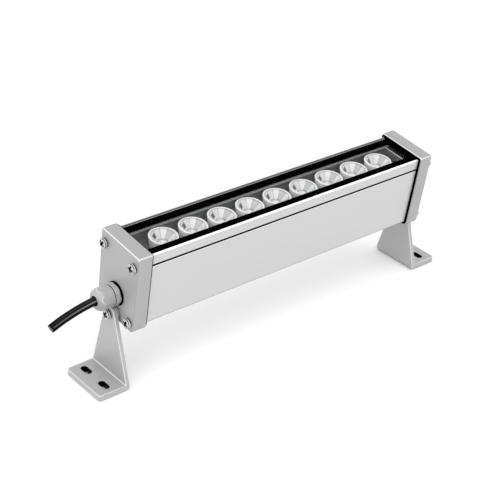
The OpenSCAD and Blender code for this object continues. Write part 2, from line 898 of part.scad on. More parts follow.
module gland_body() {
    stem_x = cap_in_x + pocket_depth - lock_nut_t - stem_over;
    bore_len = neck_end_x - stem_x + 2 * over;
    color(nylon_grey)
        in_lamp()
            at_end(-1)
                difference() {
                    union() {
                        rod_x(stem_x, flange_x + flange_t / 2 - stem_x, gland_thread_r, [0, gland_rise]);
                        intersection() {
                            hex_x(flange_x, flange_t, flange_flats);
                            rod_x(flange_x, flange_t, flange_r, [0, gland_rise]);
                        }
                        rod_x(flange_x, flange_t + gland_neck_len, gland_neck_r, [0, gland_rise]);
                    }
                    rod_x(stem_x - over, bore_len, cord_r + slide_gap, [0, gland_rise]);
                    rod_x(seal_x, seal_len + over, seal_r + fit_gap, [0, gland_rise]);
                }
}

module gland_lock_nut() {
    nut_x0 = cap_in_x + pocket_depth - lock_nut_t;
    color(nylon_grey)
        in_lamp()
            at_end(-1)
                difference() {
                    hex_x(nut_x0, lock_nut_t, lock_nut_flats);
                    rod_x(nut_x0 - over, lock_nut_t + 2 * over, gland_thread_r + fit_gap, [0, gland_rise]);
                }
}

module gland_seal() {
    color(black_rubber)
        in_lamp()
            at_end(-1)
                difference() {
                    rod_x(seal_x, seal_len, seal_r, [0, gland_rise]);
                    rod_x(seal_x - over, seal_len + 2 * over, cord_r + fit_gap, [0, gland_rise]);
                }
}

// Hexagon nut whose outer end is rounded to a smooth dome
module gland_dome_nut() {
    dome_x = nut_len - nut_dome_len;
    inner_len = neck_end_x - nut_x + fit_gap;
    color(nylon_grey)
        in_lamp()
            at_end(-1)
                difference() {
                    intersection() {
                        hex_x(nut_x, nut_len, nut_flats);
                        translate([nut_x, 0, gland_rise])
                            rotate([0, quarter, 0])
                                rotate_extrude()
                                    polygon(concat(
                                        [[0, 0], [nut_r - nut_chamfer, 0], [nut_r, nut_chamfer]],
                                        [for (i = [0:corner_steps])
                                            let(turn = quarter * i / corner_steps)
                                            [nut_end_r + (nut_r - nut_end_r) * cos(turn),
                                                dome_x + nut_dome_len * sin(turn)]],
                                        [[0, nut_len]]
                                    ));
                    }
                    rod_x(nut_x - over, inner_len + over, gland_neck_r + fit_gap, [0, gland_rise]);
                    rod_x(nut_x, nut_len + over, cord_r + 2 * slide_gap, [0, gland_rise]);
                }
}

module pivot_bolt(side) {
    color(steel)
        in_lamp()
            at_end(side)
                end_screw(bolt_head_x, [0, 0], bolt_head_x - cap_out_x + bolt_grip);
}

module pivot_washer(side) {
    color(steel)
        in_lamp()
            at_end(side)
                spring_washer(plate_out_x + fit_gap, [0, 0]);
}

module pivot_spacer(side) {
    color(steel)
        in_lamp()
            at_end(side)
                difference() {
                    rod_x(cap_out_x, plate_gap - fit_gap, spacer_r);
                    rod_x(cap_out_x - over, plate_gap + over, screw_r + hole_gap);
                }
}

// Front view of a bracket: a foot as wide as its base, and a plate that narrows to a round top
module bracket_front() {
    rise = pivot_z - foot_t;
    reach = norm([foot_half_w, rise]);
    lean = atan2(foot_half_w, rise) - asin(plate_top_r / reach);
    touch = [plate_top_r * cos(lean), pivot_z + plate_top_r * sin(lean)];
    translate([-foot_half_w, 0])
        square([foot_w, foot_t]);
    polygon([
        [-foot_half_w, foot_t],
        [foot_half_w, foot_t],
        touch,
        [-touch[0], touch[1]]
    ]);
    translate([0, pivot_z])
        circle(r = plate_top_r);
}

// Side view of a bracket: an L with a rounded bend below and a small fillet above
module bracket_side() {
    tall = pivot_z + plate_top_r + over;
    polygon(concat(
        corner([plate_in_x + bend_r, bend_r], bend_r, 2 * quarter),
        [[foot_out_x, 0], [foot_out_x, foot_t]],
        [for (i = [0:corner_steps])
            let(turn = -quarter - quarter * i / corner_steps)
            [plate_out_x + bend_fillet_r, foot_t + bend_fillet_r] + bend_fillet_r * [cos(turn), sin(turn)]],
        [[plate_out_x, tall], [plate_in_x, tall]]
    ));
}

// Plan of a bracket, with the foot's outer corners rounded
module bracket_plan() {
    polygon(concat(
        [[plate_in_x - over, foot_half_w], [plate_in_x - over, -foot_half_w]],
        corner([foot_out_x - foot_corner_r, -foot_half_w + foot_corner_r], foot_corner_r, -quarter),
        corner([foot_out_x - foot_corner_r, foot_half_w - foot_corner_r], foot_corner_r, 0)
    ));
}

// Upright slot through the foot, running along Y
module foot_slot(y) {
    half_run = (slot_len - slot_w) / 2;
    for (end = [-1, 1])
        translate([slot_x, y + end * half_run, -over])
            cylinder(h = foot_t + 2 * over, r = slot_w / 2);
    translate([slot_x - slot_w / 2, y - half_run, -over])
        cube([slot_w, 2 * half_run, foot_t + 2 * over]);
}

module bracket(side) {
    color(cast_grey)
        translate([0, pivot_y, 0])
            at_end(side)
                difference() {
                    intersection() {
                        along_x(plate_in_x - over, foot_out_x - plate_in_x + 2 * over)
                            bracket_front();
                        translate([0, foot_half_w + over, 0])
                            rotate([quarter, 0, 0])
                                linear_extrude(foot_w + 2 * over)
                                    bracket_side();
                        linear_extrude(pivot_z + plate_top_r + over)
                            bracket_plan();
                    }
                    rod_x(plate_in_x - over, plate_t + 2 * over, pivot_bore_r, [0, pivot_z]);
                    foot_slot(-slot_spacing / 2);
                    foot_slot(slot_spacing / 2);
                }
}

housing();
end_cap(-1, true);  // left_end_cap
end_cap(1, false);  // right_end_cap
gasket(-1);  // left_gasket
gasket(1);  // right_gasket
cover_glass();
border_seal(-1);  // front_border_seal
border_seal(1);  // rear_border_seal
end_border_seal(-1, left_border_len);  // left_border_seal
end_border_seal(1, right_border_len);  // right_border_seal
lens_tray();
lens_holders();
lenses();
led_emitters();
light_board();
board_screws();
cap_screws(-1);  // left_cap_screws
cap_screws(1);  // right_cap_screws
cap_washers(-1);  // left_cap_washers
cap_washers(1);  // right_cap_washers
driver_board();
driver_transformer();
driver_capacitors();
driver_choke();
driver_terminals();
led_leads();
supply_leads();
gland_body();
gland_o_ring();
gland_lock_nut();
gland_seal();
gland_dome_nut();
cord_tail();
supply_cord();
pivot_bolt(-1);  // left_pivot_bolt
pivot_bolt(1);  // right_pivot_bolt
pivot_washer(-1);  // left_pivot_washer
pivot_washer(1);  // right_pivot_washer
pivot_spacer(-1);  // left_pivot_spacer
pivot_spacer(1);  // right_pivot_spacer
bracket(-1);  // left_bracket
bracket(1);  // right_bracket
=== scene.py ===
# %% [markdown]
# # Outdoor wall washer light
# A slim aluminium lamp with nine lenses under glass, carried between two foot brackets.
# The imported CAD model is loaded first. Pieces ride on its bodies, and many lengths are read from its boxes.

# %% The frame
import json

import bmesh
import bpy
import numpy as np
from mathutils import Matrix, Vector
from mathutils.geometry import tessellate_polygon


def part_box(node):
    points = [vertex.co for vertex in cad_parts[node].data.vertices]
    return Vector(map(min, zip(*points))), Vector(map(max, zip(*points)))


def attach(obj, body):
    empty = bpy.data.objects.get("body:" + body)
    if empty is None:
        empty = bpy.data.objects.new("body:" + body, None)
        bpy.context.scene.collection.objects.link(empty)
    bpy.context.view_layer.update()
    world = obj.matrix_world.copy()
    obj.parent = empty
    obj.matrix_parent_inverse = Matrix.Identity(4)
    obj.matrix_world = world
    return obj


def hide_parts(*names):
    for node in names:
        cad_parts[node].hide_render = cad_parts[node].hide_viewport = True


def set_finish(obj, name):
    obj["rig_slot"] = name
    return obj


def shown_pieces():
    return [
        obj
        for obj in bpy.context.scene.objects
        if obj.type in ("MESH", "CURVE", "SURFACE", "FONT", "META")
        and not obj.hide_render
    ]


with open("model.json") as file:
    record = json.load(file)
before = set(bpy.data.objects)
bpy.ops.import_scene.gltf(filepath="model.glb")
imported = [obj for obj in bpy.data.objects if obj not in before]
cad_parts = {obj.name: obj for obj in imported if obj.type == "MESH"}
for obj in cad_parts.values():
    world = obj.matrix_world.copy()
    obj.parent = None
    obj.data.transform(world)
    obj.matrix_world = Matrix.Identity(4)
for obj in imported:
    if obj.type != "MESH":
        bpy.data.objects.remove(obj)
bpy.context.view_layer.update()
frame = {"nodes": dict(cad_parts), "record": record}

MM = 0.001


def x_span(node):
    """Distances along X from the lamp's middle, in millimetres, at which a node starts and stops."""
    return sorted(round(abs(corner[0]) / MM, 3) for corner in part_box(node))


def placed(name, data):
    """New object at the origin, linked to the scene."""
    made = bpy.data.objects.new(name, data)
    bpy.context.scene.collection.objects.link(made)
    return made


# %% [markdown]
# ## The camera
# A photograph fixes its camera if enough corners of a known shape are seen in it.
# Here the angles, the distance and the focal length were solved from the corners of caps and feet.
# The picture is a little turned, so the camera rolls by about three degrees.

# %% Camera
FRAME_PX, FOCAL_PX, SENSOR_MM = 500, 1332.7, 36
AZIMUTH, ELEVATION, ROLL = -40.99, 30.33, 3.15
TARGET = np.array([-19.9, 3.2, 68.1]) * MM
DISTANCE = 1067.4 * MM


def camera_axes(azimuth, elevation, roll):
    """Right, up and back of a camera on a sphere round its target, rolled about its line of sight."""
    a, e, turn = np.radians([azimuth, elevation, roll])
    back = np.array([np.sin(a) * np.cos(e), -np.cos(a) * np.cos(e), np.sin(e)])
    right = np.cross(-back, [0, 0, 1])
    right /= np.linalg.norm(right)
    up = np.cross(right, -back)
    rolled_right = np.cos(turn) * right + np.sin(turn) * up
    rolled_up = np.cos(turn) * up - np.sin(turn) * right
    return rolled_right, rolled_up, back


camera_right, camera_up, camera_back = camera_axes(AZIMUTH, ELEVATION, ROLL)
camera_data = bpy.data.cameras.new("photo_camera")
camera_data.lens = FOCAL_PX / FRAME_PX * SENSOR_MM
camera_data.sensor_width = SENSOR_MM
camera = placed("photo_camera", camera_data)
bpy.context.scene.camera = camera
camera_place = Vector(TARGET + DISTANCE * camera_back)
camera_turn = Matrix(np.column_stack([camera_right, camera_up, camera_back]).tolist()).to_4x4()
camera.matrix_world = Matrix.Translation(camera_place) @ camera_turn
print("camera at", list(camera_place), "lens", camera_data.lens)

# %% [markdown]
# ## Meshes from arrays
# Every new piece is a grid of points worked out at once, then joined into cells of four.
# A part is its points, its faces and, if it carries painted light or shade anywhere, a mark for each point.
# Doubles are merged, so that seams and poles close, and only then are the faces turned outwards.

# %% Grids and parts
def turn_angles(sides):
    """Equal angles round a full turn."""
    return np.linspace(0, 2 * np.pi, sides, endpoint=False)


def lattice(rows, cols, closed=False):
    """Cells of a stack of rings: each joins a point, its neighbour and the two points in the next ring."""
    r, c = np.meshgrid(np.arange(rows if closed else rows - 1), np.arange(cols), indexing="ij")
    below, right = (r + 1) % rows, (c + 1) % cols
    cells = np.stack([r * cols + c, r * cols + right, below * cols + right, below * cols + c], -1)
    return cells.reshape(-1, 4)


def marks_of(part):
    """Mark of each point: +1 for a painted highlight on an edge, -1 for painted shade in a recess, 0 if a
    part has no marks.
    """
    return part[2] if len(part) == 3 else np.zeros(len(part[0]))


def joined(parts):
    """Several parts as one: each part's faces count on from the points before it."""
    starts = np.cumsum([0] + [len(part[0]) for part in parts]).tolist()
    faces = []
    for part, start in zip(parts, starts):
        faces += [[int(corner) + start for corner in face] for face in part[1]]
    points = np.concatenate([part[0] for part in parts])
    return points, faces, np.concatenate([marks_of(part) for part in parts])


print("three closed rings of four points have", len(lattice(3, 4, True)), "cells")

# %% [markdown]
# ## From a part to a piece
# A piece needs more than a mesh: it rides on a body, stands for CAD nodes and takes a finish.
# These steps are the same for all pieces, so one function does them and counts open edges.

# %% Pieces
MERGE_MM = 0.002
SHARP_DEGREES = 32


def piece_of(mesh, sharp_degrees, body, stands_for, finish):
    """Object of a finished mesh: it rides on a body, stands for CAD nodes and takes a finish."""
    mesh.shade_smooth()
    mesh.set_sharp_from_angle(angle=np.radians(sharp_degrees))
    piece = placed(mesh.name, mesh)
    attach(piece, body)
    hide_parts(*stands_for)
    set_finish(piece, finish)
    return piece


def make_piece(name, part, finish, stands_for):
    """Mesh object of the lamp from a part in the standing frame, in millimetres."""
    points, faces = part[:2]
    faces = faces if isinstance(faces, list) else faces.tolist()
    mesh = bpy.data.meshes.new(name)
    mesh.from_pydata((np.asarray(points) * MM).tolist(), [], faces)
    # Each point stores its mark of painted light and shade.
    painted_light_and_shade = mesh.attributes.new("painted_light_and_shade", "FLOAT", "POINT")
    painted_light_and_shade.data.foreach_set("value", marks_of(part).astype(np.float32))
    shape = bmesh.new()
    shape.from_mesh(mesh)
    bmesh.ops.remove_doubles(shape, verts=shape.verts, dist=MERGE_MM * MM)
    loose = [edge for edge in shape.edges if not edge.link_faces]
    bmesh.ops.delete(shape, geom=loose, context="EDGES")
    bmesh.ops.recalc_face_normals(shape, faces=shape.faces)
    shape.to_mesh(mesh)
    open_edges = sum(len(edge.link_faces) != 2 for edge in shape.edges)
    shape.free()
    print(name, len(mesh.polygons), "faces,", open_edges, "open edges")
    return piece_of(mesh, SHARP_DEGREES, "lamp", stands_for, finish)


# %% [markdown]
# ## The free cord
# A short rubber pigtail comes out of the gland and ends bare, for wiring on site.
# It takes the CAD cord's route, straight out of the gland and down under its own weight.

# %% Cord route
CORD_R = 3.4
CORD_START = np.array([-165.6, 1.62197, 75.48879])
CORD_ROUTE = CORD_START + np.array(
    [
        [0, 0, 0], [-3, 0, 0], [-6, 0, -0.2], [-9, 0, -0.6], [-12, 0, -1.1],
        [-15, 0, -1.6], [-18, 0, -2.2], [-21, 0, -2.9], [-24, 0, -3.7], [-27, 0, -4.5],
        [-30, 0, -5.4], [-33, 0, -6.4], [-36, 0, -7.5], [-39, 0, -8.7], [-42, 0, -10],
    ]
)
route_forward = np.gradient(CORD_ROUTE, axis=0)
route_forward /= np.linalg.norm(route_forward, axis=1, keepdims=True)
cord_end, end_forward = CORD_ROUTE[-1], route_forward[-1]

# %% [markdown]
# ### The jacket
# A curve with a bevel would give a round cord, but its cut end would be a plain disc.
# Rings of points let the end be hollowed, so that the three wires show.
# The jacket carries two paler painted highlight streaks, standing in for reflections of the lights and
# fainter towards the cut end.

# %% Jacket
CORD_SIDES = 96
CUT_DEPTH = 0.8
# Two painted highlight streaks run along the jacket, standing in for reflections of the lights.
STREAK_HIGHLIGHTS, STREAK_ANGLES = [0.9, 0.14], np.radians([209, 249])
STREAK_HALF_W, STREAK_FADE = np.radians(7), 0.3


def rings_at(middles, forward, radii, sides):
    """Rings of given radii round middles, square to their forward directions, which lie in the XZ plane.
    A ring's angle starts at +Y, on the cord's rear side, and turns downwards first."""
    middles, forward = np.atleast_2d(middles), np.atleast_2d(forward)
    across = np.tile([0.0, 1.0, 0.0], (len(forward), 1))
    down = np.cross(forward, across)
    angle = turn_angles(sides)[None, :, None]
    circle = np.cos(angle) * across[:, None] + np.sin(angle) * down[:, None]
    return middles[:, None] + np.asarray(radii, float)[:, None, None] * circle


def along_end(end, forward, rows, sides):
    """Rings on a straight line: each row is a distance along forward, a radius and a mark of painted light or
    shade.
    """
    distance, radii, marks = np.asarray(rows, float).T
    rings = rings_at(end + distance[:, None] * forward, np.tile(forward, (len(rows), 1)), radii, sides)
    return rings, np.repeat(marks, sides)


start_pole = rings_at(CORD_START, route_forward[0], [0], CORD_SIDES)
tube_radii = np.full(len(CORD_ROUTE) - 1, CORD_R)
tube_rings = rings_at(CORD_ROUTE[:-1], route_forward[:-1], tube_radii, CORD_SIDES)
# The cut end carries a painted highlight on its rim and painted shade in its hollow.
cut_rows = [
    (-0.3, CORD_R, 0), (-0.05, 3.3, 0.4), (0, 3.15, 0.5),
    (0, 2.75, 0.3), (-CUT_DEPTH, 2.65, -1), (-CUT_DEPTH, 0, -1),
]
cut_rings, cut_marks = along_end(cord_end, end_forward, cut_rows, CORD_SIDES)
jacket_rings = np.concatenate([start_pole, tube_rings, cut_rings])
from_streak = (turn_angles(CORD_SIDES) - STREAK_ANGLES[:, None]) / STREAK_HALF_W
painted_streaks = STREAK_HIGHLIGHTS @ np.exp(-(from_streak**2))
fading = np.linspace(1, STREAK_FADE, len(CORD_ROUTE))
jacket_marks = np.concatenate([np.outer(fading, painted_streaks).ravel(), cut_marks])
jacket_cells = lattice(len(jacket_rings), CORD_SIDES)
jacket = (jacket_rings.reshape(-1, 3), jacket_cells, jacket_marks)
cord = make_piece("cord_jacket", jacket, "cord_sheath", ["supply_cord"])

# %% [markdown]
# ### The three wires
# Three small sleeves with copper in them stand in the hollow of the cut end, a third of a turn apart.
# They are turned from short profiles, as the cut end itself is.

# %% Wires in the cut end
CORE_RING_R, CORE_SIDES = 1.42, 20
CORE_ANGLES = np.radians([90, 210, 330])[:, None]
# Sleeves and copper carry painted shade at their bottoms and painted highlights at their rims.
SLEEVE_ROWS = [
    (-CUT_DEPTH, 0, 0), (-CUT_DEPTH, 1.1, -1), (-0.35, 1.1, 0),
    (-0.25, 1.0, 0.4), (-0.25, 0.5, 0), (-0.25, 0, 0),
]
COPPER_ROWS = [(-0.3, 0, 0), (-0.3, 0.5, -0.5), (-0.1, 0.5, 0), (-0.02, 0.42, 0.6), (-0.02, 0, 0.2)]


def cord_cores(rows):
    """The same turned profile at each of the three wires, as one part."""
    end_down = np.cross(end_forward, [0, 1, 0])
    out = np.cos(CORE_ANGLES) * np.array([0, 1, 0]) + np.sin(CORE_ANGLES) * end_down
    cells = lattice(len(rows), CORE_SIDES)
    cores = []
    for middle in cord_end + CORE_RING_R * out:
        rings, marks = along_end(middle, end_forward, rows, CORE_SIDES)
        cores.append((rings.reshape(-1, 3), cells, marks))
    return joined(cores)


end_pieces = [
    make_piece("cord_core_sleeves", cord_cores(SLEEVE_ROWS), "wire_sleeve", []),
    make_piece("cord_core_copper", cord_cores(COPPER_ROWS), "copper_winding", []),
]

# %% [markdown]
# ## The lamp's own frame
# The lamp leans forward as it stands. It is drawn upright round its pivot and then leaned.
# That keeps every formula simple. X runs along the lamp, and Z is square to the window.

# %% Lamp frame
TILT = np.radians(6.5)
PIVOT_Y, PIVOT_Z = 3.58038, 58.3


def leaned(points, side=1):
    """Points of the lamp's frame in the standing frame: turned about X by the tilt, moved to the pivot."""
    x, y, z = np.asarray(points, float).reshape(-1, 3).T
    y, z = y * np.cos(TILT) - z * np.sin(TILT), y * np.sin(TILT) + z * np.cos(TILT)
    return np.column_stack([side * x, y + PIVOT_Y, z + PIVOT_Z])


def upright(points):
    """Points of the standing frame back in the lamp's own frame: the opposite of leaned."""
    x, y, z = points.T
    y, z = y - PIVOT_Y, z - PIVOT_Z
    return np.column_stack([x, y * np.cos(TILT) + z * np.sin(TILT), z * np.cos(TILT) - y * np.sin(TILT)])


def lean_part(part, side=1):
    """Part drawn in the lamp's frame, leaned; side -1 mirrors it to the cable end."""
    return leaned(part[0], side), part[1], marks_of(part)


print("a point 10 mm above the pivot stands at", leaned([0, 0, 10])[0])

# %% [markdown]
# ## Outlines
# Real edges are never razor sharp: a small arc at each corner is what catches the light.
# An arc that touches both sides of a corner has its middle on the bisector.
# Most parts of the lamp are such an outline carried along X, or a section turned about a line along X.

# %% Outline helpers
def rounded(corners, radii, steps=4):
    """Closed outline with an arc in every corner, none of which may lie on a straight line.
    The arc's middle lies on the bisector at radius / sin(half angle)."""
    p, r = np.asarray(corners, float), np.asarray(radii, float)[:, None]
    back, ahead = np.roll(p, 1, 0) - p, np.roll(p, -1, 0) - p
    back /= np.linalg.norm(back, axis=1, keepdims=True)
    ahead /= np.linalg.norm(ahead, axis=1, keepdims=True)
    half = np.arccos(np.clip((back * ahead).sum(1, keepdims=True), -1, 1)) / 2
    bisector = back + ahead
    middle = p + bisector / np.linalg.norm(bisector, axis=1, keepdims=True) * r / np.sin(half)
    first, last = p + back * r / np.tan(half) - middle, p + ahead * r / np.tan(half) - middle
    share, turn = np.linspace(0, 1, steps + 1)[None, :, None], (np.pi - 2 * half)[:, :, None]
    arc = (np.sin((1 - share) * turn) * first[:, None] + np.sin(share * turn) * last[:, None]) / np.sin(turn)
    return (middle[:, None] + arc).reshape(-1, 2)


def rounded_box(half_w, low, high, r, steps):
    """Outline of a rectangle with equal arcs, half_w to each side of the middle."""
    return rounded([(half_w, low), (half_w, high), (-half_w, high), (-half_w, low)], [r] * 4, steps)


def inset(loop, distance):
    """Outline drawn in: each point moves along the sum of its sides' normals, so both sides move alike."""
    ahead = np.roll(loop, -1, 0) - loop
    ahead /= np.linalg.norm(ahead, axis=1, keepdims=True)
    normal = np.column_stack([ahead[:, 1], -ahead[:, 0]])
    before = np.roll(normal, 1, 0)
    both = (normal + before) / (1 + (normal * before).sum(1, keepdims=True))
    return loop - distance * both


def circle(place, r, sides=32):
    """Points round a place, at equal angles."""
    angle = turn_angles(sides)
    return np.column_stack([place[0] + r * np.cos(angle), place[1] + r * np.sin(angle)])


def carried(loop, stations):
    """Outline carried along X. A station is an x, how far it is drawn in there and, if it carries painted
    light or shade, a mark.
    """
    rings = [np.column_stack([np.full(len(loop), x), inset(loop, drawn_in)]) for x, drawn_in, *_ in stations]
    marks = np.repeat([station[2] if len(station) == 3 else 0.0 for station in stations], len(loop))
    return np.concatenate(rings), lattice(len(stations), len(loop)), marks


def flat_face(x, loops):
    """Flat face across X, between an outline and the holes in it, as triangles."""
    rings = [np.column_stack([np.full(len(loop), x), loop]) for loop in loops]
    return np.concatenate(rings), np.array(tessellate_polygon([ring.tolist() for ring in rings]))


def round_x(x, r, angle, centre):
    """Points at a distance r and an angle from a line along X through a centre (y, z)."""
    y, z = centre[0] + r * np.cos(angle), centre[1] + r * np.sin(angle)
    return np.stack([x + 0 * angle, y, z], -1).reshape(-1, 3)


def turned_part(section, centre, sides=64, row_marks=0):
    """Closed section of (x, r) points turned about a line along X through a centre (y, z)."""
    x, r = np.asarray(section, float).T[:, :, None]
    marks = np.repeat(row_marks + np.zeros(len(section)), sides)
    points = round_x(x, r, turn_angles(sides)[None, :], centre)
    return points, lattice(len(section), sides, True), marks


print("a box with soft corners has", len(rounded_box(1, 0, 2, 0.2, 4)), "points")

# %% [markdown]
# ## End caps
# Each cap is a cast block that closes the housing: the housing's tapered section, grown and rounded.
# First come its sizes, and the places of its screws.

# %% Sizes of housing and caps
BASE_Z, TOP_Z = -2.7, 60.3
BASE_HALF_W, TAPER = 20.65, 0.7
CAP_IN, CAP_OUT = x_span("right_end_cap")
CAP_LOW, CAP_HIGH, CAP_GROW = -5.9, 62.7, 2.5
CAP_LOW_R, CAP_HIGH_R = 3.5, 1.5
SCREW_INSET, SCREW_HEIGHTS = 3.0, [1.2, 52.0]
GLAND_Z = 17.3


def half_at(z):
    """Half width of the housing at a height: it grows evenly from the base to the top."""
    return BASE_HALF_W + TAPER * (z - BASE_Z) / (TOP_Z - BASE_Z)


def section_outline(steps=6):
    """Outline of a cap: each corner's arc stands in from the housing's tapered side, grown, by its radius."""
    turn = np.radians(90) * (np.arange(4)[:, None] - 1 + np.linspace(0, 1, steps + 1))
    way, r = np.array([1, 1, -1, -1]), np.array([CAP_LOW_R, CAP_HIGH_R, CAP_HIGH_R, CAP_LOW_R])
    level = np.array([CAP_LOW, CAP_HIGH, CAP_HIGH, CAP_LOW])
    middle_y = way * (half_at(level) + CAP_GROW - r)
    middle_z = level + r * np.array([1, -1, -1, 1])
    y, z = middle_y[:, None] + r[:, None] * np.cos(turn), middle_z[:, None] + r[:, None] * np.sin(turn)
    return np.column_stack([y.ravel(), z.ravel()])


SCREW_PLACES = [(way * (half_at(z) - SCREW_INSET), z) for way in (-1, 1) for z in SCREW_HEIGHTS]
print("caps from", CAP_IN, "to", CAP_OUT, "mm, screws at", SCREW_PLACES)

# %% [markdown]
# ### The cap's shell
# The outline is carried along X, with a quarter round at its face and a smaller one at its back.
# The back has a pocket, and the face has holes for four screws, the pivot bolt and, on one cap, the gland.
# A narrow flat margin beside each soft rim keeps the shading of the large face even.
# A painted highlight runs along the rim on top, and a faint painted dark line along the rim at the sides.

# %% Cap bodies
FACE_RIM, BACK_RIM, RIM_MARGIN = 0.55, 0.5, 0.2
# Rim marks are painted light: a painted highlight on the top rim and top edges, and a faint painted dark line
# on the side rims.
SIDE_RIM_SHADE, TOP_EDGE_HIGHLIGHT = -0.25, 0.55
SCREW_HOLE_R, PIVOT_HOLE_R, GLAND_HOLE_R = 2.2, 2.0, 7.65
POCKET_HALF_W, POCKET_LOW, POCKET_HIGH = 13, 5.5, 36
POCKET_FLOOR_X, PIVOT_HOLE_X = 146.0, 139.5


def quarter_rim(face_x, way, r, steps):
    """Stations of a quarter round from a block's side to its face, with a painted highlight strongest in the
    middle of the round.
    """
    turn = np.linspace(0, np.pi / 2, steps + 1)
    return list(zip(face_x - way * r * (1 - np.sin(turn)), r * (1 - np.cos(turn)), np.sin(2 * turn)))


def cap_shell(outline, stations):
    """Rim and sides of a cap. Its two long top edges carry a painted highlight at the middle of each upper
    corner's arc; below the top the rim's marks become faint painted shade.
    """
    points, cells, rim_marks = carried(outline, stations)
    share = np.linspace(0, 1, len(outline) // 4)
    edge_marks = np.outer([0, 1, 1, 0], TOP_EDGE_HIGHLIGHT * np.sin(np.pi * share) ** 4).ravel()
    on_top = points[:, 2] > CAP_HIGH - CAP_HIGH_R + 0.1
    marks = np.maximum(rim_marks, np.tile(edge_marks, len(stations)))
    return points, cells, marks * np.where(on_top, 1, SIDE_RIM_SHADE)


def end_cap(with_gland):
    """Cap as one closed shell: rim stations, two flat faces with holes, tunnels, pocket and pivot hole."""
    outline = section_outline()
    back = [(CAP_IN, BACK_RIM + RIM_MARGIN)] + quarter_rim(CAP_IN, -1, BACK_RIM, 3)[::-1]
    face = quarter_rim(CAP_OUT, 1, FACE_RIM, 6) + [(CAP_OUT, FACE_RIM + RIM_MARGIN)]
    tunnels = [circle(place, SCREW_HOLE_R) for place in SCREW_PLACES]
    pivot = circle((0, 0), PIVOT_HOLE_R)
    pocket = rounded_box(POCKET_HALF_W, POCKET_LOW, POCKET_HIGH, 1.0, 4)
    gland = [circle((0, GLAND_Z), GLAND_HOLE_R, 64)] if with_gland else []
    parts = [
        cap_shell(outline, back + face),
        flat_face(CAP_OUT, [inset(outline, FACE_RIM + RIM_MARGIN), *tunnels, pivot, *gland]),
        flat_face(CAP_IN, [inset(outline, BACK_RIM + RIM_MARGIN), *tunnels, pocket]),
        carried(pocket, [(CAP_IN, 0), (POCKET_FLOOR_X, 0)]),
        flat_face(POCKET_FLOOR_X, [pocket, *gland]),
        carried(pivot, [(PIVOT_HOLE_X, 0), (CAP_OUT, 0)]),
        flat_face(PIVOT_HOLE_X, [pivot]),
    ]
    parts += [carried(tunnel, [(CAP_IN, 0), (CAP_OUT, 0)]) for tunnel in tunnels]
    parts += [carried(hole, [(POCKET_FLOOR_X, 0), (CAP_OUT, 0)]) for hole in gland]
    return joined(parts)


make_piece("left_cap_body", lean_part(end_cap(True), -1), "cast_aluminium", ["left_end_cap"])
make_piece("right_cap_body", lean_part(end_cap(False), 1), "cast_aluminium", ["right_end_cap"])

# %% [markdown]
# ## Pan head screws
# A pan head is a disc with a domed top and a cross pressed into it.
# Cutting the cross out would leave ragged faces, so the head is a height over its disc instead.
# The dome falls off as a sphere does, and inside the two crossed bars the height drops smoothly.

# %% Screws
HEAD_R, HEAD_H, DOME_R, SHANK_R = 4.0, 2.7, 10.0, 1.95
CROSS_HALF_LEN, CROSS_HALF_W, CROSS_DEPTH, CROSS_SOFT = 2.9, 0.9, 1.5, 0.3
CAP_SCREW_END = x_span("right_cap_screws")[0]
WASHER_IN, WASHER_OUT = x_span("right_cap_washers")
SCREW_TURNS = {-1: [0.35, 0.10, 1.05, 0.62], 1: [0.80, 1.30, 0.25, 0.55]}
SIDES = [(-1, "left"), (1, "right")]


def smooth_step(share):
    """Nothing below 0, all above 1, and an S-shaped rise between them."""
    share = np.clip(share, 0, 1)
    return share * share * (3 - 2 * share)


def dome_h(r):
    """Height of the domed head at a radius: a sphere whose highest point is the head's height."""
    return HEAD_H - DOME_R + np.sqrt(DOME_R**2 - r**2)


def pan_screw(bearing_x, place, end_x, turn):
    """Screw along X, in rows of equal radius: crossed top, rim, bearing face and shank."""
    angle = turn_angles(96)
    top_r = np.linspace(0, HEAD_R - 0.2, 36)[:, None]
    u, v = top_r * np.cos(angle - turn), top_r * np.sin(angle - turn)
    bar = np.maximum(abs(u) - CROSS_HALF_LEN, abs(v) - CROSS_HALF_W)
    other = np.maximum(abs(v) - CROSS_HALF_LEN, abs(u) - CROSS_HALF_W)
    sunk = CROSS_DEPTH * smooth_step(0.5 - np.minimum(bar, other) / CROSS_SOFT)
    length, edge_h = bearing_x - end_x, dome_h(HEAD_R)
    # Marks paint light and shade on the head: a highlight on the rim, dark bands below it and at the bearing
    # face, a paler band between, and shade in the cross.
    body_r, body_h, body_marks = np.array(
        [
            (HEAD_R - 0.06, edge_h + 0.02, 0.9), (HEAD_R, edge_h - 0.12, -1), (HEAD_R, 1.15, -1),
            (HEAD_R, 1.0, 0.5), (HEAD_R, 0.12, 0.5), (HEAD_R - 0.12, 0, -1), (SHANK_R, 0, 0),
            (SHANK_R, 0.6 - length, 0), (SHANK_R - 0.5, -length, 0), (0, -length, 0),
        ]
    ).T[:, :, None]
    r = np.concatenate([top_r, body_r]) + 0 * angle
    x = bearing_x + np.concatenate([dome_h(top_r) - sunk, body_h + 0 * angle])
    marks = np.concatenate([-smooth_step(3 * sunk / CROSS_DEPTH), body_marks + 0 * angle])
    return round_x(x, r, angle, place), lattice(len(r), len(angle)), marks.ravel()


for side, label in SIDES:
    screws = [
        lean_part(pan_screw(WASHER_OUT, place, CAP_SCREW_END, turn), side)
        for place, turn in zip(SCREW_PLACES, SCREW_TURNS[side])
    ]
    make_piece(f"{label}_cap_screw_set", joined(screws), "stainless_steel", [f"{label}_cap_screws"])

# %% [markdown]
# ## Spring washers
# A spring washer is a small closed section carried almost once round.
# Its slot has one width from inside to outside, so each radius starts and stops at its own angle.

# %% Washers
WASHER_IN_R, WASHER_OUT_R, WASHER_SLOT = 2.2, 3.7, 0.8
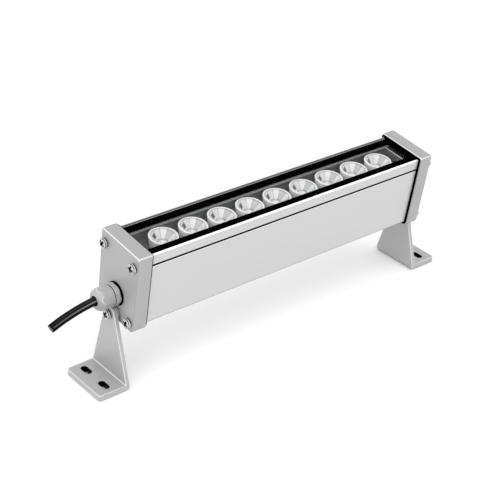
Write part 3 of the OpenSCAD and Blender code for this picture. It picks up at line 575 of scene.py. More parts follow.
# The washers are painted nearly black all over: painted shade for the dark gaps round the heads.
WASHER_SHADE = -0.95
WASHER_T = WASHER_OUT - WASHER_IN


def split_washer(from_x, place):
    """Section of (r, x) carried round. Its angle stops short by the arcsine of half the slot over r."""
    corners = [(WASHER_IN_R, 0), (WASHER_OUT_R, 0), (WASHER_OUT_R, WASHER_T), (WASHER_IN_R, WASHER_T)]
    r, x = rounded(corners, [0.12] * 4, 3).T
    half_slot = np.arcsin(WASHER_SLOT / 2 / r)
    share = np.linspace(0, 1, 61)[:, None]
    angle = np.pi / 2 + half_slot + share * (2 * np.pi - 2 * half_slot)
    points = round_x(from_x + x, r, angle, place)
    rows, cols = angle.shape
    ends = [list(range(cols)), list(range((rows - 1) * cols, rows * cols))]
    return points, lattice(rows, cols).tolist() + ends, np.full(len(points), WASHER_SHADE)


# %% [markdown]
# ## Pivot bolts and spacers
# The pivot bolts are the same screws, only shorter, each with a spring washer under its head.
# A spacer keeps the bracket off the cap. It is a turned ring, with painted shade at its chamfers and a faint
# painted highlight band on its side.

# %% Washers, bolts and spacers in place
PIVOT_WASHER_IN, PIVOT_WASHER_OUT = x_span("right_pivot_washer")
PIVOT_BOLT_END = x_span("right_pivot_bolt")[0]
SPACER_IN, SPACER_OUT = x_span("right_pivot_spacer")
SPACER_R, SPACER_BORE_R = 6.2, 2.2
PIVOT_TURN = {-1: 0.2, 1: 0.9}
spacer_x, spacer_r, spacer_marks = np.array(
    [
        (SPACER_IN, SPACER_BORE_R, 0), (SPACER_OUT, SPACER_BORE_R, 0), (SPACER_OUT, SPACER_R - 0.3, -1),
        (SPACER_OUT - 0.1, SPACER_R - 0.1, -1), (SPACER_OUT - 0.35, SPACER_R, -1),
        (SPACER_OUT - 0.65, SPACER_R, 0), (SPACER_IN + 0.7, SPACER_R, 0.3), (SPACER_IN + 0.35, SPACER_R, -1),
        (SPACER_IN + 0.1, SPACER_R - 0.1, -1), (SPACER_IN, SPACER_R - 0.3, -1),
    ]
).T
spacer = turned_part(np.column_stack([spacer_x, spacer_r]), (0, 0), row_marks=spacer_marks)
for side, label in SIDES:
    cap_washers = joined([lean_part(split_washer(WASHER_IN, place), side) for place in SCREW_PLACES])
    pivot_washer = lean_part(split_washer(PIVOT_WASHER_IN, (0, 0)), side)
    pivot_bolt = lean_part(pan_screw(PIVOT_WASHER_OUT, (0, 0), PIVOT_BOLT_END, PIVOT_TURN[side]), side)
    make_piece(f"{label}_cap_washer_set", cap_washers, "stainless_steel", [f"{label}_cap_washers"])
    make_piece(f"{label}_pivot_spring_washer", pivot_washer, "stainless_steel", [f"{label}_pivot_washer"])
    make_piece(f"{label}_pivot_screw", pivot_bolt, "stainless_steel", [f"{label}_pivot_bolt"])
    make_piece(f"{label}_spacer_ring", lean_part(spacer, side), "stainless_steel", [f"{label}_pivot_spacer"])

# %% [markdown]
# ## Cable gland
# A gland squeezes a rubber seal round the cord. Its domed nut starts as a hexagon and ends round.
# Both forms are one surface: at every angle it is as thick as the smaller of a hexagon and a turned form.
# A soft minimum rounds the ridge where the two meet, as moulded nylon is.

# %% Gland surface
GLAND_ANGLE = turn_angles(144)
ACROSS_FLATS, NUT_R, MEETING_SOFT = 16.9, 9.1, 0.25
NUT_IN, NUT_OUT = x_span("gland_dome_nut")
DOME_LEN = 4.0
# The ridge's mark and the top's mark are painted light: a painted highlight along the ridges and a paler
# painted top.
RIDGE_FROM_X, RIDGE_W, TOP_LIGHT_MARK = NUT_OUT - DOME_LEN - 0.6, 0.13, 0.35


def hexagon_r():
    """Radius of a hexagon at each angle, with one flat on top: half its width over the cosine from a flat."""
    sixth = np.pi / 3
    from_flat = (GLAND_ANGLE - np.pi / 2 + sixth / 2) % sixth - sixth / 2
    return (ACROSS_FLATS / 2 / np.cos(from_flat))[None, :]


def softer_min(a, b):
    """Smaller of two numbers, rounded off where they are nearly equal."""
    near = np.clip(MEETING_SOFT - abs(a - b), 0, None)
    return np.minimum(a, b) - near * near / (4 * MEETING_SOFT)


def gland_part(rows):
    """Closed section of (x, r, 1 if cut to a hexagon, mark) rows. A cut row's radius is the soft minimum.
    Where the two are nearly equal, a painted highlight runs along the ridge between a flat and the dome. The
    top is painted paler, as if lit from above."""
    x, r, hexed, mark = np.asarray(rows, float).T[:, :, None]
    hexagon = hexagon_r()
    radius = np.where(hexed > 0, softer_min(r + 0 * GLAND_ANGLE, hexagon), r)
    on_flat = np.clip((NUT_R + 0.1 - hexagon) / 0.5, 0, 1)
    ridge_highlight = on_flat * np.exp(-(((hexagon - r) / RIDGE_W) ** 2))
    ridge = np.where((hexed > 0) & (x > RIDGE_FROM_X), ridge_highlight, 0)
    painted_top_light = np.where(mark >= 0, TOP_LIGHT_MARK * np.clip(np.sin(GLAND_ANGLE), 0, 1), 0)
    points = round_x(x, radius, GLAND_ANGLE, (0, GLAND_Z))
    marks = np.clip(mark + ridge + painted_top_light, -1, 1).ravel()
    return points, lattice(len(rows), len(GLAND_ANGLE), True), marks


print("the hexagon's corners reach", hexagon_r().max(), "mm, the dome", NUT_R, "mm")

# %% [markdown]
# ### Nut, body and ring
# The nut's section goes out over its hexagon, along it, over the dome and back through the hole for the cord.
# The body's flange is a hexagon too, and its stem is round. A black ring seals it against the cap.

# %% Gland pieces
NUT_BORE_R, CORD_HOLE_R = 6.65, 4.0
BODY_IN, BODY_OUT = x_span("gland_body")
RING_IN, RING_OUT = x_span("gland_o_ring")
FLANGE_OUT, STEM_R, THREAD_R, SEAT_R, WIRE_HOLE_R = 155.8, 7.6, 6.6, 5.05, 3.7

dome_turn = np.linspace(0, np.pi / 2, 22)
dome_x = NUT_OUT - DOME_LEN + DOME_LEN * np.sin(dome_turn) ** 1.6
dome_r = NUT_R - 3.3 * (1 - np.cos(dome_turn))
# Row marks paint shade in the gaps, the bores and where nut and flange meet the ring, and highlights on the
# rim of the cord's hole and the flange's edge.
nut_rows = [
    (NUT_IN, 8.2, 1, -1), (NUT_IN + 0.1, 8.5, 1, -1), (NUT_IN + 0.35, 8.85, 1, -0.4),
    (NUT_IN + 0.7, NUT_R, 1, 0.1), (NUT_IN + 1.2, NUT_R, 1, 0),
]
nut_rows += [(x, NUT_R, 1, 0) for x in np.linspace(NUT_IN + 2, NUT_OUT - DOME_LEN - 0.4, 10)]
nut_rows += [(x, r, 1, 0) for x, r in zip(dome_x, dome_r)]
nut_rows += [
    (NUT_OUT, CORD_HOLE_R + 0.5, 0, 0.4), (NUT_OUT - 0.15, CORD_HOLE_R + 0.1, 0, 0),
    (NUT_OUT - 0.4, CORD_HOLE_R, 0, -1), (BODY_OUT + 0.05, CORD_HOLE_R, 0, -1),
    (BODY_OUT + 0.05, NUT_BORE_R, 0, -1), (NUT_IN, NUT_BORE_R, 0, -1),
]
body_rows = [
    (BODY_IN, WIRE_HOLE_R, 0, 0), (BODY_IN, STEM_R - 0.5, 0, 0), (BODY_IN + 0.5, STEM_R, 0, 0),
    (RING_OUT, STEM_R, 0, -1), (RING_OUT, 8.6, 1, -1), (RING_OUT + 0.1, 8.95, 1, -1),
    (RING_OUT + 0.5, NUT_R, 1, -1), (RING_OUT + 0.7, NUT_R, 1, 0.1), (FLANGE_OUT - 0.6, NUT_R, 1, 0),
    (FLANGE_OUT - 0.3, 8.95, 1, 0.5), (FLANGE_OUT - 0.1, 8.7, 1, -0.5), (FLANGE_OUT, 8.2, 1, -1),
    (FLANGE_OUT, THREAD_R, 0, -1), (BODY_OUT - 0.3, THREAD_R, 0, 0), (BODY_OUT, THREAD_R - 0.3, 0, 0),
    (BODY_OUT, SEAT_R, 0, 0), (157.4, SEAT_R, 0, 0), (157.4, WIRE_HOLE_R, 0, 0),
]
make_piece("gland_cap_nut", lean_part(gland_part(nut_rows), -1), "nylon_grey", ["gland_dome_nut"])
make_piece("gland_shell", lean_part(gland_part(body_rows), -1), "nylon_grey", ["gland_body"])

ring_half_t, ring_half_w, ring_middle_r = (RING_OUT - RING_IN) / 2, 1.025, 8.675
ring_angle = turn_angles(24)
ring_section = np.column_stack(
    [RING_IN + ring_half_t * (1 + np.sin(ring_angle)), ring_middle_r + ring_half_w * np.cos(ring_angle)]
)
gland_ring = lean_part(turned_part(ring_section, (0, GLAND_Z), 96), -1)
make_piece("gland_ring", gland_ring, "black_rubber", ["gland_o_ring"])

# %% [markdown]
# ## Lenses
# Each lens is clear moulded plastic with a bowl in its face, under the cover glass.
# The bowl is round at its rim and has flat facets further down: its radius blends from circle to polygon.
# Real facets mirror the room. Here each has its own painted tone, a painted reflection which looks the same
# from every side.

# %% Lens surface
LENS_COUNT, LENS_PITCH = 9, 27.7
LENS_X = (np.arange(LENS_COUNT) - LENS_COUNT // 2) * LENS_PITCH
BOARD_TOP_Z = 43.0
LENS_SIDES, FACETS = 120, 10
LENS_R, LENS_TOP_H, SEAT_H, BOWL_FLOOR_H, BOWL_TOP_R = 10.55, 13.0, 10.8, 6.8, 9.6
SPOT_LOW_H, SPOT_HIGH_H, SPOT_END_MARK, MEETING_MARK = 8.4, 11.6, 0.1, -0.5
FACET_TONES = np.array([-0.2, 0.2, 0.1, -1.0, 0.3, 0.1, 0.4, 0.5, 0.0, 0.3])
LENS_SHARP_DEGREES = 18


def upright_part(section, x, sides, blend=0, closed=False):
    """Section of (r, height) turned about an upright line over the light board.
    The blend turns a row's circle to a polygon: cosine of half a facet over cosine from its middle."""
    r, h = np.asarray(section, float).T[:, :, None]
    angle = turn_angles(sides)[None, :]
    step = 2 * np.pi / FACETS
    polygon = np.cos(step / 2) / np.cos(angle % step - step / 2)
    radius = r * (1 - blend + blend * polygon)
    points = np.stack([x + radius * np.cos(angle), radius * np.sin(angle), BOARD_TOP_Z + h + 0 * angle], -1)
    return points.reshape(-1, 3), lattice(len(section), sides, closed)


def lens_marks(r, h, row_marks):
    """Mark of every point of a lens: its row's own and, on the bowl's wall, the facet's painted reflection
    tone.
    A thin painted dark line runs where two facets meet. The darkest facet is dark only half way up."""
    counted = np.arange(LENS_SIDES) * FACETS
    tones = FACET_TONES[counted // LENS_SIDES]
    tones = np.where((tones < -0.5) & ((h < SPOT_LOW_H) | (h > SPOT_HIGH_H)), SPOT_END_MARK, tones)
    tones = np.where(counted % LENS_SIDES == 0, MEETING_MARK, tones)
    on_wall = (r > 4) & (r < BOWL_TOP_R + 0.01) & (h > BOWL_FLOOR_H - 0.1)
    return np.clip(row_marks + np.where(on_wall, tones, 0), -1, 1).ravel()


print(LENS_COUNT, "lenses from", LENS_X[0], "to", LENS_X[-1], "mm")

# %% [markdown]
# ### Rows of a lens
# The rows go up the outside of a lens, over its rim, down the bowl's wall and in to a dome over the light.
# Each is a radius, a height over the light board, the share of a polygon in it and a mark of painted light or
# shade: painted highlights on the rim and the small dome, painted dark lines beside them.

# %% Lenses
wall = np.linspace(0, 1, 9)
wall_marks = -0.6 * (wall > 0.9) - 0.4 * (wall < 0.1)
wall_rows = zip(BOWL_TOP_R - 5.4 * wall, 12.75 - 5.95 * wall, smooth_step(wall / 0.3), wall_marks)
lens_rows = [
    (0, 3.5, 0, 0), (2.5, 3.5, 0, 0), (2.7, 3.3, 0, 0), (2.7, 0.5, 0, 0), (4.6, 0.5, 0, 0),
    (9.6, SEAT_H, 0, 0), (LENS_R, SEAT_H, 0, 0), (LENS_R, LENS_TOP_H - 0.2, 0, -0.6),
    (LENS_R - 0.2, LENS_TOP_H, 0, 0.5), (LENS_R - 0.45, LENS_TOP_H, 0, 0.1),
    (BOWL_TOP_R + 0.3, LENS_TOP_H, 0, 0), (BOWL_TOP_R + 0.1, LENS_TOP_H - 0.1, 0, -0.4),
    *wall_rows,
    (3.6, BOWL_FLOOR_H, 0.6, -0.2), (2.2, BOWL_FLOOR_H, 0, 0.3), (1.95, BOWL_FLOOR_H, 0, -0.7),
    (1.7, BOWL_FLOOR_H + 0.45, 0, 0.6), (0.9, BOWL_FLOOR_H + 0.75, 0, 0.2), (0, BOWL_FLOOR_H + 0.85, 0, 0.8),
]
lens_r, lens_h, polygon_share, lens_row_marks = np.array(lens_rows).T[:, :, None]
lens_section = np.column_stack([lens_r, lens_h])
tones_of_lens = lens_marks(lens_r, lens_h, lens_row_marks)
lenses = [(*upright_part(lens_section, x, LENS_SIDES, polygon_share), tones_of_lens) for x in LENS_X]
lens_piece = make_piece("lens_set", joined([lean_part(lens) for lens in lenses]), "clear_lens", ["lenses"])
lens_piece.data.set_sharp_from_angle(angle=np.radians(LENS_SHARP_DEGREES))

# %% [markdown]
# ### Lens holders
# A pale cone carries each lens by its rim. Its wall is one closed section, turned about the lens's own line.

# %% Holders
holder_section = rounded(
    [(4.9, 0), (9.6, 0), (11.6, LENS_TOP_H), (10.6, LENS_TOP_H), (10.6, SEAT_H), (9.9, SEAT_H)],
    [0.1, 0.4, 0.3, 0.12, 0.1, 0.1],
    3,
)
holders = [lean_part(upright_part(holder_section, x, 72, closed=True)) for x in LENS_X]
make_piece("lens_holder_set", joined(holders), "lens_holder", ["lens_holders"])

# %% [markdown]
# ## Ends of the window
# At the right end of the window a grey wall is seen below the glass, where the dark tray is turned up.
# Two thin plates with soft edges stand on the ends of the CAD tray. Their upper edges carry a painted
# highlight.
# The black strip that ends the window there is narrow too, so it is drawn with the same function.

# %% Window ends
TRAY_END_T, TRAY_END_HALF_W, TRAY_FLOOR_Z, TRAY_RIM_Z = 1.0, 13.4, 46.7, 55.2
TRAY_END_OUT = x_span("lens_tray")[1]
STRIP_W, STRIP_HALF_LEN, STRIP_LOW, STRIP_HIGH = 3.2, 11.9, 58.7, 59.1
STRIP_OUT = x_span("housing")[1]


def soft_plate(x_in, x_out, half_w, low, high, soft, top_highlight=0.0):
    """Rectangle with soft corners carried along X, flat at both ends. Its upper edge may carry a painted
    highlight.
    """
    outline = rounded_box(half_w, low, high, 2 * soft, 3)
    stations = [(x_in, soft), (x_in + soft, 0), (x_out - soft, 0), (x_out, soft)]
    ends = [flat_face(x, [inset(outline, soft)]) for x in (x_in, x_out)]
    points, faces, _ = joined([carried(outline, stations), *ends])
    return points, faces, np.where(points[:, 2] > high - 2 * soft, top_highlight, 0.0)


tray_end = soft_plate(
    TRAY_END_OUT - TRAY_END_T, TRAY_END_OUT, TRAY_END_HALF_W, TRAY_FLOOR_Z, TRAY_RIM_Z, 0.15, top_highlight=1.0
)
strip = soft_plate(STRIP_OUT - STRIP_W, STRIP_OUT, STRIP_HALF_LEN, STRIP_LOW, STRIP_HIGH, 0.05)
make_piece("tray_end_walls", joined([lean_part(tray_end, side) for side, _ in SIDES]), "dark_tray", [])
make_piece("right_window_strip", lean_part(strip), "black_rubber", ["right_border_seal"])

# %% [markdown]
# ## Copies of CAD meshes
# Where a CAD form is already right, a copy of its mesh is worked on instead of a new one.
# That mesh is loose triangles, so they are merged, and flat neighbours become one face again.

# %% Edited copies
COPY_SHARP_DEGREES = 35


def clean_copy(node, name):
    """Merged copy of a CAD node's mesh as an editable shape, its flat triangles made one face again."""
    mesh = frame["nodes"][node].data.copy()
    mesh.name = name
    shape = bmesh.new()
    shape.from_mesh(mesh)
    bmesh.ops.remove_doubles(shape, verts=shape.verts, dist=MERGE_MM * MM)
    bmesh.ops.dissolve_limit(shape, angle_limit=np.radians(1), verts=shape.verts, edges=shape.edges)
    return mesh, shape


def finished_copy(mesh, shape, finish, node, body):
    """Object of an edited copy, whose shading follows its larger faces."""
    shape.to_mesh(mesh)
    shape.free()
    piece = piece_of(mesh, COPY_SHARP_DEGREES, body, [node], finish)
    weighted = piece.modifiers.new("even_shading", "WEIGHTED_NORMAL")
    weighted.keep_sharp = True
    print(mesh.name, len(mesh.polygons), "faces")


# %% [markdown]
# ## Foot brackets
# A bracket is a bent and milled plate: an upright that narrows to a round top over a foot with two slots.
# A copy of the CAD mesh is bevelled, as a deburring tool would leave it.
# The bevel's own faces carry a painted highlight, and so does the small fillet. The slots are painted dark,
# rims and all, as painted shade.

# %% Brackets
BRACKET_EDGE, BRACKET_STEPS = 0.55, 3
PLATE_IN, FOOT_END = x_span("right_bracket")
PLATE_OUT, FOOT_T, FILLET_R = PLATE_IN + 3.6, 5.2, 1.0
SLOT_X, SLOT_Y, SLOT_HALF_W, SLOT_HALF_LEN = FOOT_END - 11.0, 11.95, 2.35, 5.2
CLEAR = 0.02


def bracket_marks(x, y, z, bevelled):
    """Mark of each face of a bracket by the place of its middle: painted highlights on bevels and fillet,
    painted shade in the slots.
    """
    reach = BRACKET_EDGE + 0.1
    in_width = abs(abs(x) - SLOT_X) < SLOT_HALF_W + reach
    in_length = abs(abs(y - PIVOT_Y) - SLOT_Y) < SLOT_HALF_LEN + reach
    beside_plate = (abs(x) > PLATE_OUT + CLEAR) & (abs(x) < PLATE_OUT + FILLET_R)
    in_fillet = beside_plate & (z > FOOT_T + CLEAR) & (z < FOOT_T + FILLET_R)
    marks = np.where(bevelled | in_fillet, 1.0, 0.0)
    return np.where(in_width & in_length & (z < FOOT_T - CLEAR), -1.0, marks)


def foot_bracket(node, name):
    """Bevelled copy of a bracket, with a mark of painted light or shade on each face."""
    mesh, shape = clean_copy(node, name)
    inner = [edge for edge in shape.edges if len(edge.link_faces) == 2]
    corners = [edge for edge in inner if edge.calc_face_angle(0) > np.radians(COPY_SHARP_DEGREES)]
    made = bmesh.ops.bevel(
        shape, geom=corners, offset=BRACKET_EDGE * MM, segments=BRACKET_STEPS, profile=0.5,
        affect="EDGES", clamp_overlap=False,
    )
    made_faces = set(made["faces"])
    bevelled = np.array([face in made_faces for face in shape.faces])
    middles = np.array([face.calc_center_median() for face in shape.faces]) / MM
    layer = shape.faces.layers.float.new("painted_light_and_shade")
    for face, mark in zip(shape.faces, bracket_marks(*middles.T, bevelled)):
        face[layer] = mark
    finished_copy(mesh, shape, "bracket_aluminium", node, node)


foot_bracket("left_bracket", "left_foot_bracket")
foot_bracket("right_bracket", "right_foot_bracket")

# %% [markdown]
# ## Housing
# The housing is one long extrusion, so its CAD mesh has only long faces from end to end.
# A copy of it is cut along a few heights. That gives the narrow strips that a groove or a lip needs
# to be marked alone, because a mark fades evenly from one point of a face to the next.

# %% Housing
GROOVE_LOW, GROOVE_HIGH = 50.5, 51.5
BESIDE_GROOVE = np.array([0.35, 0.6, 0.95])
BASE_EDGE_H, TOP_EDGE_H = 1.2, 0.6
LEDGE_Y, LEDGE_FROM_Z = 13, 54
BELOW_GROOVE_MARK, ABOVE_GROOVE_MARK, BASE_EDGE_MARK, REAR_LIP_MARK = 0.9, 0.3, -0.45, 0.1


def housing_marks(points):
    """Mark of each point: painted shade in the groove between painted highlight lines, painted highlights on
    the front edge and ledge, a painted dark line along the base.
    The rear edge has painted shade inside and a faint painted highlight outside. Where two marks meet, the
    first listed holds."""
    _, y, z = upright(points).T
    depth = half_at(z) - abs(y)
    from_groove = abs(z - (GROOVE_LOW + GROOVE_HIGH) / 2) - (GROOVE_HIGH - GROOVE_LOW) / 2
    in_groove = (from_groove < 0.4) & (depth < 2)
    beside_groove = (abs(from_groove - BESIDE_GROOVE[1]) < 0.1) & (depth < 0.1)
    on_top_edge = (z > TOP_Z - 0.4) & (depth < 1.9)
    on_ledge = (abs(abs(y) - LEDGE_Y) < 0.1) & (z > LEDGE_FROM_Z)
    on_base_edge = (z < BASE_Z + 1.1) & (depth < 1.1)
    rear_marks = np.where(depth > 1, -1.0, REAR_LIP_MARK)
    top_marks = np.where(y < 0, 1.0, rear_marks)
    beside_marks = np.where(z < GROOVE_LOW, BELOW_GROOVE_MARK, ABOVE_GROOVE_MARK)
    return np.select(
        [on_base_edge, on_ledge, on_top_edge, beside_groove, in_groove],
        [BASE_EDGE_MARK, 1.0, top_marks, beside_marks, -1.0],
        0.0,
    )


beside_heights = [*(GROOVE_LOW - BESIDE_GROOVE), *(GROOVE_HIGH + BESIDE_GROOVE)]
housing_mesh, housing_shape = clean_copy("housing", "housing_shell")
for height in [BASE_Z + BASE_EDGE_H, *beside_heights, TOP_Z - TOP_EDGE_H]:
    bmesh.ops.bisect_plane(
        housing_shape,
        geom=housing_shape.verts[:] + housing_shape.edges[:] + housing_shape.faces[:],
        plane_co=Vector((leaned([0, 0, height])[0] * MM).tolist()),
        plane_no=Vector((0, -np.sin(TILT), np.cos(TILT))),
    )
housing_points = np.array([vert.co for vert in housing_shape.verts]) / MM
housing_layer = housing_shape.verts.layers.float.new("painted_light_and_shade")
for vert, mark in zip(housing_shape.verts, housing_marks(housing_points)):
    vert[housing_layer] = mark
finished_copy(housing_mesh, housing_shape, "anodised_aluminium", "housing", "lamp")

# %% [markdown]
# ## Shared effects
# Each finish is a node material. What several of them share is a node group with named sockets, built once.
# The first is the fine grain of a surface: noise in object coordinates, as a tone and as a height.
# Stretched along the lamp, the same noise makes the fine lines of an extrusion.

# %% Grain group
NOISE_DETAIL = 4


def new_group(name, inputs, outputs):
    """Node group whose inputs and outputs are given as names with their kinds."""
    group = bpy.data.node_groups.new(name, "ShaderNodeTree")
    for way, sockets in (("INPUT", inputs), ("OUTPUT", outputs)):
        for label, kind in sockets.items():
            group.interface.new_socket(name=label, in_out=way, socket_type="NodeSocket" + kind)
    return group, group.nodes.new("NodeGroupInput"), group.nodes.new("NodeGroupOutput")


def add_math(nodes, kind, operation):
    """New Math or VectorMath node."""
    made = nodes.new("ShaderNode" + kind)
    made.operation = operation
    return made


def grain_group():
    """Colour times one minus noise times the tone change, and the noise itself as a height."""
    group, given, out = new_group(
        "surface_grain",
        {"Colour": "Color", "Tone change": "Float", "Stretch": "Vector", "Scale": "Float"},
        {"Colour": "Color", "Height": "Float"},
    )
    nodes = group.nodes
    place = nodes.new("ShaderNodeTexCoord")
    stretch = add_math(nodes, "VectorMath", "MULTIPLY")
    noise = nodes.new("ShaderNodeTexNoise")
    noise.inputs["Detail"].default_value = NOISE_DETAIL
    darker = add_math(nodes, "Math", "MULTIPLY")
    keep = add_math(nodes, "Math", "SUBTRACT")
    keep.inputs[0].default_value = 1
    tint = add_math(nodes, "VectorMath", "SCALE")
    for start, end in [
        (place.outputs["Object"], stretch.inputs[0]),
        (given.outputs["Stretch"], stretch.inputs[1]),
        (stretch.outputs[0], noise.inputs["Vector"]),
        (given.outputs["Scale"], noise.inputs["Scale"]),
        (noise.outputs["Fac"], darker.inputs[0]),
        (given.outputs["Tone change"], darker.inputs[1]),
        (darker.outputs[0], keep.inputs[1]),
        (given.outputs["Colour"], tint.inputs[0]),
        (keep.outputs[0], tint.inputs["Scale"]),
        (tint.outputs[0], out.inputs["Colour"]),
        (noise.outputs["Fac"], out.inputs["Height"]),
    ]:
        group.links.new(start, end)
    return group


GRAIN = grain_group()
print(GRAIN.name, len(GRAIN.nodes), "nodes")

# %% [markdown]
# ### Painted highlights and shade
# Edges get a painted highlight, and grooves, slots, gaps and other recesses get painted shade, nearly black.
# The lenses' facet tones and the gland's paler top are painted light on the same mark.
# The meshes carry a mark for that, from -1 to +1, which an Attribute node reads.
# A nearly black metal reflects nothing, so the metallic value rises to one in the painted shade.

# %% Painted light and shade group
MIX_A, MIX_B, MIX_RESULT = 6, 7, 2


def light_and_shade_group():
    """A colour mixed to a painted highlight colour as the mark rises to 1, and to a painted shade colour as
    it falls to -1.
    """
    group, given, out = new_group(
        "painted_light_and_shade_mix",
        {"Colour": "Color", "Edge colour": "Color", "Recess colour": "Color", "Metallic": "Float"},
        {"Colour": "Color", "Metallic": "Float"},
    )
    nodes, links = group.nodes, group.links
    mark = nodes.new("ShaderNodeAttribute")
    mark.attribute_name = "painted_light_and_shade"
    colour = given.outputs["Colour"]
    for end, name in ((1, "Edge colour"), (-1, "Recess colour")):
        share = nodes.new("ShaderNodeMapRange")
        share.inputs["From Max"].default_value = end
        mix = nodes.new("ShaderNodeMix")
        mix.data_type = "RGBA"
        links.new(mark.outputs["Fac"], share.inputs["Value"])
        links.new(share.outputs["Result"], mix.inputs["Factor"])
        links.new(colour, mix.inputs[MIX_A])
        links.new(given.outputs[name], mix.inputs[MIX_B])
        colour = mix.outputs[MIX_RESULT]
    metal = add_math(nodes, "Math", "MAXIMUM")
    links.new(given.outputs["Metallic"], metal.inputs[0])
    links.new(share.outputs["Result"], metal.inputs[1])
    links.new(colour, out.inputs["Colour"])
    links.new(metal.outputs[0], out.inputs["Metallic"])
    return group


LIGHT_AND_SHADE = light_and_shade_group()
print(LIGHT_AND_SHADE.name, len(LIGHT_AND_SHADE.nodes), "nodes")

# %% [markdown]
# ### One recipe for all finishes
# Each finish is a Principled shader. Its colour and relief carry the grain, and its colour the painted
# highlights and shade.
# What is the same all over a surface sits on the shader's own sockets, where an export can read it.

# %% Finish recipe
BUMP_DISTANCE = 0.0002
EDGE_GAIN, RECESS_GAIN = 1.5, 0.1
MATERIALS = {}


def grey(level):
    """Neutral colour of one level."""
    return (level, level, level)


def set_inputs(node, **values):
    """Values of a node's sockets; an underscore in a keyword stands for a space."""
    for name, value in values.items():
        node.inputs[name.replace("_", " ")].default_value = value


def finish_material(
    name, colour, roughness, metallic=0.0, tone=0.08, stretch=(1, 1, 1), scale=500, relief=0.05,
    edge=None, recess=None, metal_recess=False, **more
):
    """Material of one finish. Its edge colour is a painted highlight and its recess colour painted shade; a
    missing one is the finish's colour times a gain.
    """
    material = bpy.data.materials.new(name)
    material.use_nodes = True
    nodes, links = material.node_tree.nodes, material.node_tree.links
    shader, bump = nodes["Principled BSDF"], nodes.new("ShaderNodeBump")
    grain, painted_light_and_shade = nodes.new("ShaderNodeGroup"), nodes.new("ShaderNodeGroup")
    grain.node_tree, painted_light_and_shade.node_tree = GRAIN, LIGHT_AND_SHADE
    edge = edge or np.minimum(EDGE_GAIN * np.array(colour), 1)
    recess = recess or RECESS_GAIN * np.array(colour)
    set_inputs(shader, Roughness=roughness, Metallic=metallic, **more)
    set_inputs(grain, Colour=(*colour, 1), Tone_change=tone, Stretch=stretch, Scale=scale)
    set_inputs(painted_light_and_shade, Edge_colour=(*edge, 1), Recess_colour=(*recess, 1))
    set_inputs(bump, Strength=relief, Distance=BUMP_DISTANCE)
    links.new(grain.outputs["Colour"], painted_light_and_shade.inputs["Colour"])
    links.new(painted_light_and_shade.outputs["Colour"], shader.inputs["Base Color"])
    if metal_recess:
        set_inputs(painted_light_and_shade, Metallic=metallic)
        links.new(painted_light_and_shade.outputs["Metallic"], shader.inputs["Metallic"])
    links.new(grain.outputs["Height"], bump.inputs["Height"])
    links.new(bump.outputs["Normal"], shader.inputs["Normal"])
    MATERIALS[name] = material
    print("finish", name)
    return material


# %% [markdown]
# ### Metals
# The housing is anodised: fine lines run along it, and a painted highlight runs along its front lip.
# Caps and brackets are duller, so they are only partly metallic. The screws are plain stainless steel.

# %% Metal finishes
# Each metal's edge colour paints its highlights and its recess colour its shade.
ALONG = (0.04, 1, 1)
finish_material(
    "anodised_aluminium", grey(0.54), 0.42, 0.35, 0.07, ALONG, 900, 0.05,
    edge=(0.95, 0.96, 0.96), recess=grey(0.004), metal_recess=True,
)
finish_material("cast_aluminium", grey(0.37), 0.48, 0.25, 0.10, scale=900, relief=0.12, edge=grey(0.92))
finish_material(
    "bracket_aluminium", grey(0.41), 0.46, 0.25, 0.10, scale=700, relief=0.08,
    edge=grey(0.60), recess=grey(0.002), metal_recess=True,
)
finish_material(
    "stainless_steel", grey(0.50), 0.3, 0.6, 0.08, scale=700,
    edge=grey(0.95), recess=grey(0.003), metal_recess=True,
)

# %% [markdown]
# ### Rubber and plastics
# Silicone rubber is the blackest thing on the lamp and shows no gloss. The cord's sheath has a little.
# The gland is moulded nylon, cloudy at a coarse scale. Tray and holders are satin plastic.

# %% Rubber and plastic finishes
finish_material("black_rubber", grey(0.001), 0.6, scale=900, relief=0.1, Specular_IOR_Level=0.0)
# The sheath's edge colour is the grey of its painted highlight streaks and of the painted highlight on its
# cut rim.
finish_material("cord_sheath", grey(0.002), 0.14, scale=800, edge=grey(0.30), Specular_IOR_Level=0.05)
# The tray's edge colour is the painted highlight on the end walls' upper edges.
finish_material("dark_tray", grey(0.17), 0.5, 0.2, scale=600, edge=grey(0.8))
finish_material("lens_holder", grey(0.95), 0.35, tone=0.05)
# The nylon's edge colour paints the highlights on ridges, rims and top, its recess colour the painted shade
# in gaps and bores.
finish_material(
    "nylon_grey", grey(0.30), 0.30, tone=0.35, scale=250, relief=0.10,
    edge=grey(0.62), recess=grey(0.015), metal_recess=True,
)

# %% [markdown]
# ### Lenses and glass
# Clear plastic over a pale holder mostly shows what is under it, so a lens is a bright glossy surface
# with the facets' tones in its colour, painted reflections. The cover glass is a faint, smooth film that lets
# nearly all through.

# %% Lens and glass finishes
finish_material(
    "clear_lens", grey(0.66), 0.12, tone=0.06, relief=0.02, edge=grey(1), recess=grey(0.08), Coat_Weight=0.3
)
finish_material("cover_glass", (0.10, 0.11, 0.12), 0.03, tone=0.0, relief=0.0, Alpha=0.06)

# %% [markdown]
# ### Inside the lamp
# The light board and the driver are hidden in the photograph. They show when the lamp is taken apart.

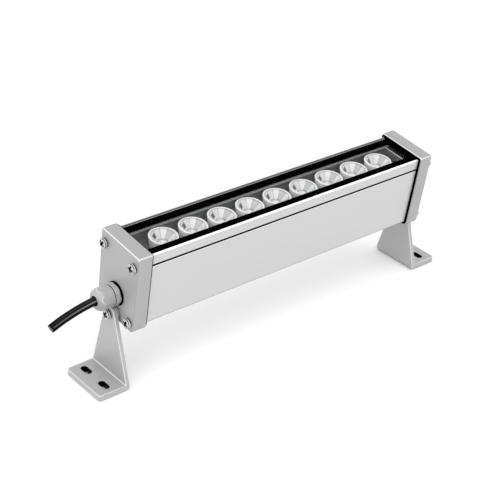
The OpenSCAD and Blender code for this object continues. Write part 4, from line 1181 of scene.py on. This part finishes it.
# %% Finishes of the electronics
finish_material("led_phosphor", (0.85, 0.72, 0.22), 0.5)
finish_material("white_board", (0.78, 0.79, 0.78), 0.45)
finish_material("green_board", (0.03, 0.22, 0.09), 0.4)
finish_material("driver_core", (0.09, 0.06, 0.04), 0.6)
finish_material("capacitor_sleeve", (0.02, 0.03, 0.09), 0.35)
finish_material("copper_winding", (0.62, 0.27, 0.12), 0.35, 0.7)
finish_material("wire_sleeve", (0.05, 0.12, 0.35), 0.5)

# %% [markdown]
# ### Finishes in place
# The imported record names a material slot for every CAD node, and each new piece was given one above.

# %% Finishes on nodes and pieces
def dress(mesh, finish):
    """Give a mesh one finish alone."""
    mesh.materials.clear()
    mesh.materials.append(MATERIALS[finish])


for row in frame["record"]["subparts"]:
    dress(frame["nodes"][row["node"]].data, row["material_slot"])
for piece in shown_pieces():
    if "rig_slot" in piece:
        dress(piece.data, piece["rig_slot"])

# %% [markdown]
# ## Floor and light
# A wide pale floor, a bright even sky and two soft lights give the high, shadowless look of the photograph.

# %% Stage
FLOOR_HALF, FLOOR_Z = 8.0, -0.0003
LAMP_MIDDLE = np.array([0, 0, 0.06])

floor_mesh = bpy.data.meshes.new("floor")
floor_corners = FLOOR_HALF * np.array([(-1, -1), (1, -1), (1, 1), (-1, 1)])
floor_mesh.from_pydata([(x, y, FLOOR_Z) for x, y in floor_corners], [], [(0, 1, 2, 3)])
floor = placed("floor", floor_mesh)
floor_mesh.materials.append(finish_material("floor_paint", grey(0.93), 0.9, tone=0.0, relief=0.0))

world = bpy.data.worlds.new("studio")
bpy.context.scene.world = world
world.use_nodes = True
set_inputs(world.node_tree.nodes["Background"], Color=(1, 1, 1, 1), Strength=1.0)


def soft_light(name, place, size, power):
    """Square area light that faces the middle of the lamp. Place and size are in metres, power in watts."""
    data = bpy.data.lights.new(name, "AREA")
    data.size, data.energy = size, power
    light = placed(name, data)
    light.location = place
    light.rotation_mode = "QUATERNION"
    light.rotation_quaternion = Vector(LAMP_MIDDLE - place).to_track_quat("-Z", "Y")


soft_light("key", (-0.25, -1.0, 1.8), 1.8, 18)
soft_light("fill", (-1.4, -0.2, 0.5), 1.2, 5)
bpy.context.scene.view_settings.view_transform = "Standard"
print("floor of", 2 * FLOOR_HALF, "m and two lights")
